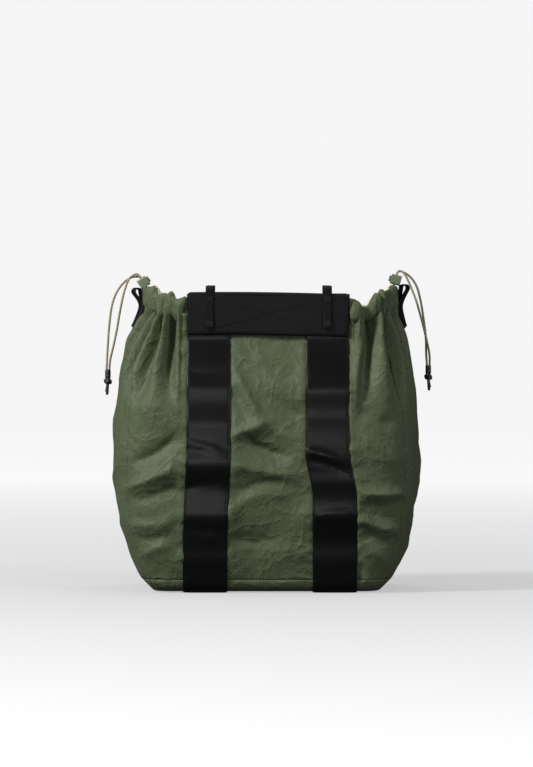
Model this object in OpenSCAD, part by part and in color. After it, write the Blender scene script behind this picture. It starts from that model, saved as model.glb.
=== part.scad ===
// Drawstring rope bag: sewn fabric body, webbing straps, rim bands, cord channels and spring cord locks.
// Millimetres. X runs to the right, -Y is the front, Z is up. The origin is the middle of the resting base.

/* [Body] */
// Half width of the flat middle of the front and back
flat_half = 95; // [94:0.5:98]
// Height of the top edge of the front and back panels under the rim bands
tab_top = 337; // [334:0.5:338]
// Thickness of the outer fabric
fabric_t = 1.2; // [0.8:0.1:1.4]
// Thickness of the lining
lining_t = 0.8; // [0.5:0.1:1]
// How far the cord channels climb from the bands to the side tips
side_rise = 15; // [10:1:16]

/* [Webbing] */
// Width of the two straps that run under the base
strap_w = 50; // [45:1:50]
// Distance of each strap's centre line from the middle
strap_x = 66.5; // [66:0.1:67]
// Thickness of the straps
strap_t = 1.6; // [1.2:0.1:1.6]
// Lower edge of the rim bands
band_bottom = 289; // [288:1:300]
// Upper edge of the rim bands
band_top = 339; // [338:1:339]
// Thickness of the doubled rim bands
band_t = 2.5; // [2:0.1:2.6]
// Width of the narrow loops
loop_w = 10; // [8:0.5:12]
// Thickness of the narrow webbing
loop_t = 1.2; // [1:0.1:1.2]

/* [Drawstring] */
// Diameter of the cord
cord_d = 2.6; // [2.2:0.1:2.6]
// Height of the cord channels
channel_h = 16; // [15:0.5:18]
// Travel of the lock's button
press_travel = 2; // [1.5:0.1:2]
// Width of a lock along its button
lock_l = 11.4; // [11:0.1:12]
// Width of a lock across its button
lock_w = 12; // [11.5:0.1:12.5]
// Height of a lock along the cords
lock_h = 11.6; // [11:0.1:12]

/* [Hidden] */

OLIVE = [0.28, 0.32, 0.21];
BEIGE = [0.72, 0.68, 0.55];
BLACK = [0.08, 0.08, 0.09];
KHAKI = [0.55, 0.52, 0.38];
SAGE = [0.42, 0.48, 0.34];

// Gap kept between neighbouring layers that are sewn together
gap = 0.1;
// Height of the underside of the base panel: the strap and one gap
base_z = strap_t + gap;
// Height of the seam between the base panel and the walls
seam_z = 15;
// Height where the channels sit at the bands, and where the climb to the tips begins
rim_z = 311;
climb_z = 250;
// Half depth of the flat top of the front and back
rim_b = 72;
// Angle along a corner arc at which the front or back panel meets a side panel
seam_angle = 45;
arc_step = 9;

// Half width, half depth, corner squareness and sideways lean of the body against height
half_width = [[0, 128], [15, 143], [35, 153], [65, 163], [105, 172], [145, 174.5], [180, 174],
    [215, 171], [250, 165], [280, 157.5], [295, 150.5], [305, 146], [rim_z, 143]];
half_depth = [[base_z, 85], [4, 91], [9, 94.2], [15, 95.5], [40, 100], [90, 105], [140, 106],
    [190, 103], [230, 94], [260, 82], [285, rim_b]];
squareness = [[15, 4], [60, 3.4], [150, 3], [210, 2.6], [260, 2.1], [290, 1.8], [rim_z, 1.6]];
lean = [[250, 0], [280, 2], [rim_z, 5]];

base_rows = [base_z, 4, 9, seam_z];
wall_rows = [seam_z, 25, 40, 65, 90, 120, 150, 180, 205, 230, 250, 265, 275, 285, 298, rim_z];

// A column is [side sign, face sign, arc angle]; a row is a height before the climb is added
function climb(row, angle) = row <= climb_z || angle <= seam_angle ? 0
    : side_rise * (row - climb_z) / (rim_z - climb_z) * (angle - seam_angle) / (90 - seam_angle);
function wall_point(column, row, inset, lift = 0) =
    let (power = 2 / lookup(row, squareness),
         reach = lookup(row, half_width) + column[0] * lookup(row, lean) - flat_half - inset)
    [column[0] * (flat_half + reach * pow(sin(column[2]), power)),
     column[1] * (lookup(row, half_depth) - inset) * pow(cos(column[2]), power),
     row + lift + climb(row, column[2])];

// Columns in order, anticlockwise seen from above
arc_angles = [for (a = [0 : arc_step : 90]) a];
front_columns = concat([for (a = [seam_angle : -arc_step : 0]) [-1, -1, a]],
    [for (a = [0 : arc_step : seam_angle]) [1, -1, a]]);
back_columns = [for (c = front_columns) [-c[0], 1, c[2]]];
right_columns = concat([for (a = [seam_angle : arc_step : 90]) [1, -1, a]],
    [for (a = [90 - arc_step : -arc_step : seam_angle]) [1, 1, a]]);
left_columns = [for (c = right_columns) [-1, -c[1], c[2]]];
ring_columns = concat(
    [for (a = arc_angles) [1, -1, a]], [for (a = [90 - arc_step : -arc_step : 0]) [1, 1, a]],
    [for (a = arc_angles) [-1, 1, a]], [for (a = [90 - arc_step : -arc_step : 0]) [-1, -1, a]]);

// Closed tube of equal sections, each with an even number of points. The ends are closed like a
// ladder, with a rung from each point to the one opposite it in the list, because they can be curved.
module loft(sections) {
    n = len(sections[0]);
    last = len(sections) - 1;
    sides = [for (i = [0 : last - 1], j = [0 : n - 1])
        let (k = (j + 1) % n)
        each [[i * n + j, (i + 1) * n + j, (i + 1) * n + k], [i * n + j, (i + 1) * n + k, i * n + k]]];
    caps = [for (j = [0 : n / 2 - 2])
        let (k = n - 1 - j, far = last * n)
        each [[j, j + 1, k - 1], [j, k - 1, k],
            [far + j, far + k - 1, far + j + 1], [far + j, far + k, far + k - 1]]];
    flat_caps = [for (f = caps) if (f[0] != f[1] && f[1] != f[2] && f[0] != f[2]) f];
    polyhedron(points = [for (s = sections) each s], faces = concat(sides, flat_caps), convexity = 6);
}

// A sewn panel: an upright slice at each column, inner edge going up and outer edge coming down
module panel(columns, rows) {
    loft([for (c = columns) concat(
        [for (r = rows) wall_point(c, r, fabric_t)],
        [for (i = [len(rows) - 1 : -1 : 0]) wall_point(c, rows[i], 0)])]);
}

// A tray or sack: rings up the outside, then down the inside to its floor
module sack(rows, inset, thickness) {
    outside = [for (r = rows) [for (c = ring_columns) wall_point(c, r, inset)]];
    floor_row = rows[0] + thickness;
    inside = [for (i = [len(rows) - 1 : -1 : 0])
        [for (c = ring_columns) wall_point(c, max(rows[i], floor_row), inset + thickness)]];
    loft(concat(outside, inside));
}

// Front or back panel: the curved wall and the tab that is sewn under the rim band
band_half = 92;
module face_panel(columns, side) {
    union() {
        panel(columns, wall_rows);
        translate([-band_half, side > 0 ? rim_b - fabric_t : -rim_b, rim_z - 1])
            cube([2 * band_half, fabric_t, tab_top - rim_z + 1]);
    }
}

module front_panel() { color(OLIVE) face_panel(front_columns, -1); }
module back_panel() { color(OLIVE) face_panel(back_columns, 1); }
module right_side_panel() { color(OLIVE) panel(right_columns, wall_rows); }
module left_side_panel() { color(OLIVE) panel(left_columns, wall_rows); }
module base_panel() { color(OLIVE) sack(base_rows, 0, fabric_t); }

// Lining: a sack inside the panels, standing on the stiffener
lining_floor = base_z + fabric_t + 2.2;
lining_rows = concat([lining_floor, 9], wall_rows);
module lining() { color(BEIGE) sack(lining_rows, fabric_t + 0.3, lining_t); }

// Stiff sheet between the base panel and the lining
stiffener_t = 1.6;
module base_stiffener() {
    color(BLACK)
        translate([0, 0, base_z + fabric_t + 0.3])
            linear_extrude(stiffener_t)
                polygon([for (c = ring_columns) let (p = wall_point(c, 4, 4)) [p[0], p[1]]]);
}

// Offset of an open outline to its left, mitred at each corner
function unit(v) = v / norm(v);
function left_of(v) = [-v[1], v[0]];
function mitre(path, i, d) =
    let (before = unit(path[max(i, 1)] - path[max(i, 1) - 1]),
         after = unit(path[min(i + 1, len(path) - 1)] - path[min(i, len(path) - 2)]),
         across = unit(left_of(before) + left_of(after)))
    path[i] + across * d / (across * left_of(before));
function ribbon(path, near, far) = concat(
    [for (i = [0 : len(path) - 1]) mitre(path, i, near)],
    [for (i = [len(path) - 1 : -1 : 0]) mitre(path, i, far)]);

// Strap outline in depth and height, from the front rim under the base to the back rim
strap_rows = concat(base_rows, [for (i = [1 : len(wall_rows) - 1]) wall_rows[i]], [tab_top]);
front_profile = [for (i = [len(strap_rows) - 1 : -1 : 0])
    [-lookup(strap_rows[i], half_depth), strap_rows[i]]];
strap_profile = concat(front_profile,
    [for (i = [len(front_profile) - 1 : -1 : 0]) [-front_profile[i][0], front_profile[i][1]]]);
module strap(x) {
    color(BLACK)
        translate([x - strap_w / 2, 0, 0])
            rotate([90, 0, 90])
                linear_extrude(strap_w) polygon(ribbon(strap_profile, -gap, -gap - strap_t));
}
module left_strap() { strap(-strap_x); }
module right_strap() { strap(strap_x); }

// Rim bands, outside the straps
band_y = rim_b + 2 * gap + strap_t;
module band() {
    color(BLACK)
        translate([-band_half, band_y, band_bottom])
            cube([2 * band_half, band_t, band_top - band_bottom]);
}
module back_band() { band(); }
module front_band() { mirror([0, 1, 0]) band(); }

// Loop over the rim: the outer leg lies on the band, the inner leg behind the panel's tab
loop_in_r = 3.7;
loop_out_r = loop_in_r + loop_t;
loop_out_y = band_y + band_t + 0.2;
loop_mid_y = loop_out_y - loop_in_r;
loop_z = band_top + 2.5;
outer_leg_end = 297;
inner_leg_end = 326;
module rim_loop(x) {
    color(BLACK)
        translate([x, 0, 0]) {
            rotate([90, 0, 90])
                translate([0, 0, -loop_w / 2])
                    linear_extrude(loop_w) {
                        difference() {
                            translate([loop_mid_y, loop_z]) circle(loop_out_r, $fn = 48);
                            translate([loop_mid_y, loop_z]) circle(loop_in_r, $fn = 48);
                            translate([loop_mid_y - 10, loop_z - 20]) square([20, 20]);
                        }
                        translate([loop_mid_y - loop_out_r, inner_leg_end])
                            square([loop_t, loop_z - inner_leg_end]);
                        translate([loop_out_y, outer_leg_end + loop_w / 2])
                            square([loop_t, loop_z - outer_leg_end - loop_w / 2]);
                    }
            translate([0, loop_out_y + loop_t, outer_leg_end + loop_w / 2])
                rotate([90, 0, 0]) cylinder(h = loop_t, d = loop_w, $fn = 48);
        }
}
module back_left_loop() { rim_loop(-strap_x); }
module back_right_loop() { rim_loop(strap_x); }
module front_left_loop() { mirror([0, 1, 0]) rim_loop(-strap_x); }
module front_right_loop() { mirror([0, 1, 0]) rim_loop(strap_x); }

// Side loop: a folded length of narrow webbing sewn flat on the side panel, open at its top.
// Its outline is in width and height, on the right side of the body.
side_r = 4.5;
// Level gap between the folded legs, which keeps them apart where they slope
side_gap = 0.9;
function side_foot(side, row) = let (p = wall_point([side, -1, 90], row, -gap)) [side * p[0], p[2]];
function side_line(side, centre) = concat(
    [for (row = [290, 298, rim_z]) side_foot(side, row)],
    [for (a = [170 : -20 : -30]) centre + side_r * [cos(a), sin(a)]],
    [for (row = [rim_z, 298]) side_foot(side, row) + [2 * loop_t + side_gap, 0]]);
module side_loop(side, centre) {
    color(BLACK)
        mirror([side > 0 ? 0 : 1, 0, 0])
            translate([0, loop_w / 2, 0])
                rotate([90, 0, 0])
                    linear_extrude(loop_w) polygon(ribbon(side_line(side, centre), 0, -loop_t));
}
module right_side_loop() { side_loop(1, [157.5, 343.5]); }
module left_side_loop() { side_loop(-1, [148, 339.5]); }

// Cord channel: a flat tube of folded fabric on the panel's top edge, with the cord's own bore inside
channel_out = 2;
channel_in = 5;
channel_mid = (channel_in - channel_out) / 2;
bore_r = 2.1;
channel_end_y = 7;
channel_outline = [[-channel_out, 0], [channel_in, 0], [channel_in, channel_h - 2],
    [channel_in - 1.5, channel_h], [1.5 - channel_out, channel_h], [-channel_out, channel_h - 2]];
bore_outline = [for (a = [0 : 45 : 315]) [channel_mid + bore_r * cos(a), channel_h / 2 + bore_r * sin(a)]];
module swept_round(side, face, outline, first, last) {
    turn = side * face > 0 ? 1 : -1;
    stations = turn > 0 ? [for (a = [last : -arc_step : first]) a] : [for (a = [first : arc_step : last]) a];
    loft([for (a = stations) [for (p = outline) wall_point([side, face, a], rim_z, p[0], p[1])]]);
}
module channel(side, face) {
    color(OLIVE)
        difference() {
            swept_round(side, face, channel_outline, 0, 90);
            swept_round(side, face, bore_outline, 0, 90);
            translate([side * 140 - 20, -channel_end_y, rim_z]) cube([40, 2 * channel_end_y, 60]);
        }
}
module left_front_channel() { channel(-1, -1); }
module left_back_channel() { channel(-1, 1); }
module right_front_channel() { channel(1, -1); }
module right_back_channel() { channel(1, 1); }

// Cords: the route of the front cord of each pair, from the band along its channel, through the lock
// and over to the cord end. The back cord mirrors the hidden part and lies beside it outside.
strand_y = 1.45;
right_hidden = [[100, -69.5, 319], [107, -66, 319], [114, -61, 319], [121.5, -54, 319],
    [128.5, -45.5, 319], [134.5, -36.5, 322], [139.5, -26.5, 325], [143.5, -16, 328], [145.7, -7, 331.2],
    [146.2, -4, 334], [145.4, -2, 338.5], [144.7, -1.45, 343.5]];
right_front_out = [[145.5, -1.45, 347.4], [148.5, -1.45, 358.6], [151, -1.5, 362.6], [154.8, -1.8, 362.4],
    [160, -2.2, 355.6], [166, -2.4, 342], [172, -2.4, 326], [177.8, -2.2, 305], [182.6, -1.8, 286],
    [186.2, -1.2, 268], [186.5, -0.6, 255]];
right_back_out = [[145.5, 1.45, 347.4], [148.5, 1.45, 358.6], [150.6, 1.6, 362], [155, 2, 362.2],
    [164, 2.4, 356.6], [171.6, 2.6, 345.5], [176.2, 2.6, 329], [179.8, 2.5, 307], [182.2, 2.2, 287],
    [182.6, 1.4, 269], [183.4, 0.6, 255]];
left_hidden = [[-99, -69.5, 319], [-104.5, -66, 319], [-110.5, -61, 319], [-116.5, -54, 319],
    [-122, -45.5, 319], [-127, -36.5, 322], [-131, -26.5, 325], [-134, -16, 328], [-136, -7, 331.2],
    [-136, -4, 334.5], [-134.6, -2, 338.5], [-134, -1.45, 342]];
left_front_out = [[-136.2, -1.45, 345.6], [-143.3, -1.45, 354.9], [-148, -1.6, 359.4], [-153, -1.9, 357.6],
    [-158, -2.3, 352], [-163.2, -2.4, 337], [-167.6, -2.4, 316], [-171, -2.3, 296], [-174.8, -2, 278],
    [-178.6, -1.2, 262], [-179.8, -0.6, 250]];
left_back_out = [[-136.2, 1.45, 345.6], [-143.3, 1.45, 354.9], [-148.4, 1.7, 356.6], [-157, 2.1, 354.4],
    [-166, 2.5, 346.6], [-173, 2.6, 335], [-177.4, 2.6, 320], [-180.2, 2.5, 297], [-181.6, 2.2, 276],
    [-182.4, 1.4, 262], [-182.9, 0.6, 250]];
function across_depth(path) = [for (p = path) [p[0], -p[1], p[2]]];

// Frames are carried from ring to ring so that a tube never twists
function tangent(path, i) = unit(path[min(i + 1, len(path) - 1)] - path[max(i - 1, 0)]);
function carried(path, i) = i == 0
    ? unit(cross(tangent(path, 0), [0.3, 0.2, 1]))
    : let (t = tangent(path, i), v = carried(path, i - 1)) unit(v - t * (v * t));
module tube(path, r, sides) {
    loft([for (i = [0 : len(path) - 1])
        let (t = tangent(path, i), u = carried(path, i), v = cross(t, u))
        [for (k = [0 : sides - 1])
            path[i] + r * (u * cos(360 * k / sides) + v * sin(360 * k / sides))]]);
}
module cord(path) { color(KHAKI) tube(path, cord_d / 2, 8); }
module right_front_cord() { cord(concat(right_hidden, right_front_out)); }
module right_back_cord() { cord(concat(across_depth(right_hidden), right_back_out)); }
module left_front_cord() { cord(concat(left_hidden, left_front_out)); }
module left_back_cord() { cord(concat(across_depth(left_hidden), left_back_out)); }

// Cord end: a sleeve over both cords, the knot below it and the tail
sleeve_r = 3.3;
sleeve_h = 10;
module cord_end(x, z, side) {
    color(BLACK)
        translate([x, 0, z]) {
            translate([0, 0, -sleeve_h]) cylinder(h = sleeve_h, r = sleeve_r, $fn = 32);
            translate([0, 0, -sleeve_h - 3.2]) sphere(r = 4.2, $fn = 32);
            translate([0, 0, -sleeve_h - 5]) rotate([0, side * 168, 0]) cylinder(h = 15, r = 1.6, $fn = 24);
        }
}
module right_cord_end() { cord_end(184.95, 255, 1); }
module left_cord_end() { cord_end(-181.35, 250, 1); }

// Lock: in its own frame z runs along the cords and x points inward, to the button
right_lock_place = [147, 0, 353];
right_lock_tilt = 15;
left_lock_place = [-139.75, 0, 350.25];
left_lock_tilt = 37.5;
button_w = 8.6;
button_h = 7;
button_out = 2.4;
body_in = lock_l / 2 - 1;
body_out = -lock_l / 2 - 1;
button_end = -3;
slot_y = 2.9;
slot_half = 1.5;
run = 0.1;
spring_r = 1.8;
wire_r = 0.22;
seat_r = 2.3;
seat_depth = 1;
spring_from = button_end - press_travel - run - seat_depth;
spring_to = button_end + seat_depth;
module right_lock_frame() {
    translate(right_lock_place) rotate([0, right_lock_tilt, 0]) mirror([1, 0, 0]) children();
}
module left_lock_frame() {
    translate(left_lock_place) rotate([0, -left_lock_tilt, 0]) children();
}
module round_bar(x0, x1, y_half, z_half, r) {
    // Bar along x with rounded long edges
    translate([x0, 0, 0]) rotate([90, 0, 90])
        linear_extrude(x1 - x0) rounded_square(y_half, z_half, r);
}
module rounded_square(x_half, y_half, r) {
    square([2 * (x_half - r), 2 * y_half], center = true);
    square([2 * x_half, 2 * (y_half - r)], center = true);
    for (sx = [-1, 1], sy = [-1, 1])
        translate([sx * (x_half - r), sy * (y_half - r)]) circle(r, $fn = 32);
}
module cord_slot(x0, x1) {
    translate([x0, -slot_y, -20]) cube([x1 - x0, 2 * slot_y, 40]);
}
module lock_body() {
    color(SAGE)
        difference() {
            round_bar(body_out, body_in, lock_w / 2, lock_h / 2, 2.2);
            round_bar(button_end - press_travel - run, body_in + 1, button_w / 2 + run, button_h / 2 + run, 1.6);
            cord_slot(-slot_half, slot_half);
            translate([spring_from, 0, 0]) rotate([0, 90, 0]) cylinder(h = 3, r = seat_r, $fn = 32);
        }
}
module lock_plunger() {
    color(SAGE)
        difference() {
            round_bar(button_end, body_in + button_out, button_w / 2, button_h / 2, 1.5);
            cord_slot(-slot_half, slot_half + press_travel);
            translate([button_end - 1, 0, 0]) rotate([0, 90, 0]) cylinder(h = 1 + seat_depth, r = seat_r, $fn = 32);
        }
}
spring_turns = 3.5;
spring_steps = 35;
module lock_spring() {
    length = spring_to - spring_from - 4 * wire_r;
    color("silver")
        tube([for (i = [0 : spring_steps])
            let (a = 360 * spring_turns * i / spring_steps)
            [spring_from + 2 * wire_r + length * i / spring_steps, spring_r * cos(a), spring_r * sin(a)]],
            wire_r, 6);
}
module right_lock_body() { right_lock_frame() lock_body(); }
module right_lock_plunger() { right_lock_frame() lock_plunger(); }
module right_lock_spring() { right_lock_frame() lock_spring(); }
module left_lock_body() { left_lock_frame() lock_body(); }
module left_lock_plunger() { left_lock_frame() lock_plunger(); }
module left_lock_spring() { left_lock_frame() lock_spring(); }

front_panel();
back_panel();
left_side_panel();
right_side_panel();
base_panel();
lining();
base_stiffener();
left_strap();
right_strap();
front_band();
back_band();
front_left_loop();
front_right_loop();
back_left_loop();
back_right_loop();
left_side_loop();
right_side_loop();
left_front_channel();
left_back_channel();
right_front_channel();
right_back_channel();
left_front_cord();
left_back_cord();
right_front_cord();
right_back_cord();
left_cord_end();
right_cord_end();
left_lock_body();
left_lock_plunger();
left_lock_spring();
right_lock_body();
right_lock_plunger();
right_lock_spring();
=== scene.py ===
"""Drawstring rope bag: cloth shell, webbing, gathered drawstring channels, cords and cord locks."""
import math

import bpy
import numpy as np
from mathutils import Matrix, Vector


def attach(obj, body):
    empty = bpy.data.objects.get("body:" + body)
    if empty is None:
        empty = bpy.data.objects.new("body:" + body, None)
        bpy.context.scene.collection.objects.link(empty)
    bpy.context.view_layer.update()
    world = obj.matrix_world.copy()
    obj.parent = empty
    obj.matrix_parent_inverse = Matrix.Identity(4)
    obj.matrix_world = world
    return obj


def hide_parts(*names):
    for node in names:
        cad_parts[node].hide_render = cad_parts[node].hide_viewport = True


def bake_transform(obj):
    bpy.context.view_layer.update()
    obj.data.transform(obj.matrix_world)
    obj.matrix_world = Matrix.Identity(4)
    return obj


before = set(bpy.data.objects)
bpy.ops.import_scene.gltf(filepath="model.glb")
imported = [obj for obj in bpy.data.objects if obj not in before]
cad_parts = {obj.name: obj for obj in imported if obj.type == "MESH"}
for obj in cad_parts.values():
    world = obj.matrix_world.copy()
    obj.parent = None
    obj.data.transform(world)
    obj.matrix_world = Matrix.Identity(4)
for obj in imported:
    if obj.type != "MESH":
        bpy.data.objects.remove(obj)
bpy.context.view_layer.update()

MM = 0.001
SIDES = ((-1, "left"), (1, "right"))
FACES = ((-1, "front"), (1, "back"))


# ---------------------------------------------------------------- camera and light

def place_camera():
    """A long lens, level with the bag's middle and a little above it."""
    lens, sensor, distance, rise = 250.0, 36.0, 6.0, math.radians(1.2)
    look_at = Vector((0.0, -0.09, 0.2362))
    data = bpy.data.cameras.new("camera")
    data.lens, data.sensor_width = lens, sensor
    data.clip_start, data.clip_end = 0.1, 60.0
    camera = bpy.data.objects.new("camera", data)
    bpy.context.collection.objects.link(camera)
    camera.location = look_at + distance * Vector((0.0, -math.cos(rise), math.sin(rise)))
    camera.rotation_euler = (math.pi / 2 - rise, 0.0, 0.0)
    bpy.context.scene.camera = camera


def area_light(name, place, size, power):
    """A rectangular softbox aimed at the bag's middle."""
    data = bpy.data.lights.new(name, "AREA")
    data.shape, data.size, data.size_y, data.energy = "RECTANGLE", size[0], size[1], power
    lamp = bpy.data.objects.new(name, data)
    bpy.context.collection.objects.link(lamp)
    lamp.location = place
    lamp.rotation_euler = (Vector((0.0, 0.0, 0.18)) - Vector(place)).to_track_quat("-Z", "Y").to_euler()


place_camera()


# ---------------------------------------------------------------- mesh helpers

def link_mesh(name, vertices, faces, uvs=None):
    """A mesh object from points and faces; uvs is one pair of metres for each face corner."""
    mesh = bpy.data.meshes.new(name)
    mesh.from_pydata([tuple(map(float, v)) for v in vertices], [], [tuple(map(int, f)) for f in faces])
    if uvs is not None:
        layer = mesh.uv_layers.new(name="flat_cloth")
        layer.data.foreach_set("uv", np.asarray(uvs, np.float32).ravel())
    mesh.polygons.foreach_set("use_smooth", np.full(len(mesh.polygons), True))
    mesh.update()
    made = bpy.data.objects.new(name, mesh)
    bpy.context.collection.objects.link(made)
    return made


def grid_faces(rows, columns, wrap, first=0):
    """Quads of a grid of points stored row by row; wrap joins the last column to the first."""
    r, c = np.meshgrid(np.arange(rows - 1), np.arange(columns if wrap else columns - 1), indexing="ij")
    below, above, n = r * columns, (r + 1) * columns, (c + 1) % columns
    return first + np.stack([below + c, below + n, above + n, above + c], -1).reshape(-1, 4)


def stacked(*parts):
    """Parts of different shapes as the last axis of one array."""
    return np.stack(np.broadcast_arrays(*parts), -1)


def grid_piece(name, points, flat, wrap=False):
    """A sheet of quads through points[row, column]; flat[row, column] is its place on the cut cloth."""
    rows, columns = points.shape[:2]
    faces = grid_faces(rows, columns, wrap)
    if wrap:
        flat = np.concatenate([flat, flat[:, -1:] + (flat[:, -1:] - flat[:, -2:-1])], 1)
    r, c = np.divmod(faces[:, 0], columns)
    corners = [flat[r, c], flat[r, c + 1], flat[r + 1, c + 1], flat[r + 1, c]]
    return link_mesh(name, points.reshape(-1, 3), faces, np.stack(corners, 1).reshape(-1, 2))


def unit(vectors):
    """The same directions with length 1."""
    return vectors / np.maximum(np.linalg.norm(vectors, axis=-1, keepdims=True), 1e-12)


def tangents(path):
    return unit(np.gradient(path, axis=0))


def carried_frames(path):
    """Side vectors carried along a path without twist."""
    t = tangents(path)
    side = unit(np.cross(t[0], (0.3, 0.2, 1.0)))
    sides = []
    for here in t:
        side = unit(side - here * np.dot(side, here))
        sides.append(side)
    sides = np.array(sides)
    return t, sides, np.cross(t, sides)


def closed_sweep(name, rings, along):
    """A closed tube through rings[station, point, 3], with its two ends filled."""
    stations, count = rings.shape[:2]
    faces = [list(f) for f in grid_faces(stations, count, True)]
    middle = rings[stations // 2]
    v = lengths_along(np.concatenate([middle, middle[:1]]))
    flat = stacked(v[None, :], along[:, None])
    uvs = []
    for f in faces:
        r, c = divmod(f[0], count)
        uvs += [flat[r, c], flat[r, c + 1], flat[r + 1, c + 1], flat[r + 1, c]]
    caps = [list(range(count))[::-1], [(stations - 1) * count + i for i in range(count)]]
    for cap in caps:
        uvs += [flat[cap[0] // count, i % count] for i in cap]
    return link_mesh(name, rings.reshape(-1, 3), faces + caps, uvs)


def lengths_along(path):
    """The distance along a path to each of its points."""
    return np.concatenate([[0.0], np.cumsum(np.linalg.norm(np.diff(path, axis=0), axis=1))])


def smooth_route(points, step):
    """A smooth curve through given points, resampled at an even step."""
    p = np.array(points, float)
    ext = np.concatenate([[2 * p[0] - p[1]], p, [2 * p[-1] - p[-2]]])
    fine = []
    for i in range(1, len(ext) - 2):
        a, b, c, d = ext[i - 1:i + 3]
        for t in np.arange(0, 1, 0.05):
            fine.append(0.5 * (2 * b + (c - a) * t + (2 * a - 5 * b + 4 * c - d) * t ** 2
                               + (3 * b - a - 3 * c + d) * t ** 3))
    fine.append(p[-1])
    fine = np.array(fine)
    s = lengths_along(fine)
    even = np.linspace(0, s[-1], max(2, int(round(s[-1] / step)) + 1))
    return np.stack([np.interp(even, s, fine[:, k]) for k in range(3)], -1)


def tube(name, path, radius, sides=12):
    """A round cord along a path; radius is a number or one for each point."""
    _, u, v = carried_frames(path)
    r = np.broadcast_to(radius, (len(path),))
    a = np.arange(sides) * 2 * math.pi / sides
    rings = path[:, None] + r[:, None, None] * (u[:, None] * np.cos(a)[None, :, None]
                                                + v[:, None] * np.sin(a)[None, :, None])
    return closed_sweep(name, rings, lengths_along(path))


def ribbon(name, path, across, width, thick, corner, sides, crown=0.0):
    """Woven tape swept along a path: a flat section with rounded edges. width may change along it."""
    path = np.asarray(path, float)
    t = tangents(path)
    across = unit(np.broadcast_to(np.asarray(across, float), path.shape))
    normal = unit(np.cross(t, across))
    u = np.linspace(1, -1, sides // 2 + 1)
    half = np.sign(u) * (1 - (1 - np.abs(u)) ** 1.5)
    edge = np.sqrt(1 - np.abs(half) ** (2 * corner))
    flat_x = np.concatenate([half, half[-2:0:-1]])
    flat_y = np.concatenate([edge, -edge[-2:0:-1]])
    w = np.broadcast_to(width, (len(path),))[:, None, None] / 2
    lift = crown * (1 - flat_x ** 2)
    rings = (path[:, None] + w * across[:, None] * flat_x[None, :, None]
             + normal[:, None] * (thick / 2 * flat_y + lift)[None, :, None])
    return closed_sweep(name, rings, lengths_along(path))


def join(name, made):
    """Several meshes as one piece."""
    bpy.ops.object.select_all(action="DESELECT")
    for o in made:
        o.select_set(True)
    bpy.context.view_layer.objects.active = made[0]
    bpy.ops.object.join()
    made[0].name = name
    return made[0]


def add_modifier(piece, kind, **settings):
    m = piece.modifiers.new(kind.lower(), kind)
    for key, value in settings.items():
        setattr(m, key, value)
    return m


def bake_modifiers(piece):
    """Applies a piece's modifiers so that the mesh itself is final."""
    graph = bpy.context.evaluated_depsgraph_get()
    mesh = bpy.data.meshes.new_from_object(piece.evaluated_get(graph))
    piece.modifiers.clear()
    piece.data = mesh


def thicken(piece, thickness, offset=-1.0):
    """Gives a sheet its thickness, inwards unless offset says otherwise."""
    add_modifier(piece, "SOLIDIFY", thickness=thickness, offset=offset)
    bake_modifiers(piece)
    return piece


WAVES = 36


def wave_field(seed, u, v, low, high):
    """Smooth random waves over (u, v) in metres, between two wavelengths; about -1 to 1."""
    rng = np.random.default_rng(seed)
    total = np.zeros(np.broadcast(u, v).shape)
    for _ in range(WAVES):
        angle, phase = rng.uniform(0, 2 * math.pi, 2)
        k = 2 * math.pi / rng.uniform(low, high)
        total = total + np.sin(k * (u * math.cos(angle) + v * math.sin(angle)) + phase)
    return total / math.sqrt(WAVES / 2) / 1.6


def fade(x, start, end):
    """0 before start, 1 after end, smooth between; start may be the larger."""
    t = np.clip((x - start) / (end - start), 0, 1)
    return t * t * (3 - 2 * t)


# ---------------------------------------------------------------- cord routes, in millimetres

THROUGH_LOCK = {  # out of the channel and through the lock: x, distance from the middle plane, z
    "left": [(-131, 26.5, 325), (-134, 16, 328), (-136, 7, 331.2), (-136, 4, 334.5), (-134.6, 2, 338.5),
             (-134, 1.45, 342), (-136.2, 1.45, 345.6), (-143.3, 1.45, 354.9)],
    "right": [(139.5, 26.5, 325), (143.5, 16, 328), (145.7, 7, 331.2), (146.2, 4, 334), (145.4, 2, 338.5),
              (144.7, 1.45, 343.5), (145.5, 1.45, 347.4), (148.5, 1.45, 358.6)],
}
HANGING = {  # from the lock down to the sleeve, in the same form
    "right_front": [(151, 1.5, 362.6), (154.8, 1.8, 362.4), (160, 2.2, 355.6), (166, 2.4, 342),
                    (172, 2.4, 326), (177.8, 2.2, 305), (182.6, 1.8, 286), (186.2, 1.2, 268),
                    (186.5, 0.6, 255)],
    "right_back": [(150.6, 1.6, 362), (155, 2, 362.2), (164, 2.4, 356.6), (171.6, 2.6, 345.5),
                   (176.2, 2.6, 329), (179.8, 2.5, 307), (182.2, 2.2, 287), (182.6, 1.4, 269),
                   (183.4, 0.6, 255)],
    "left_front": [(-148, 1.6, 359.4), (-153, 1.9, 357.6), (-158, 2.3, 352), (-163.2, 2.4, 337),
                   (-167.6, 2.4, 316), (-171, 2.3, 296), (-174.8, 2, 278), (-178.6, 1.2, 262),
                   (-179.8, 0.6, 250)],
    "left_back": [(-148.4, 1.7, 356.6), (-157, 2.1, 354.4), (-166, 2.5, 346.6), (-173, 2.6, 335),
                  (-177.4, 2.6, 320), (-180.2, 2.5, 297), (-181.6, 2.2, 276), (-182.4, 1.4, 262),
                  (-182.9, 0.6, 250)],
}
CORD_D = 2.6 * MM


def cord_strand(key):
    """One strand, from inside its channel through the lock to its sleeve."""
    side_name, face_name = key.split("_")
    mirror = (1, -1 if face_name == "front" else 1, 1)
    path = smooth_route(np.array(THROUGH_LOCK[side_name] + HANGING[key]) * mirror * MM, 1.6 * MM)
    return tube(key + "_strand", path, CORD_D / 2), path


strands = {key: cord_strand(key) for key in HANGING}

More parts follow.
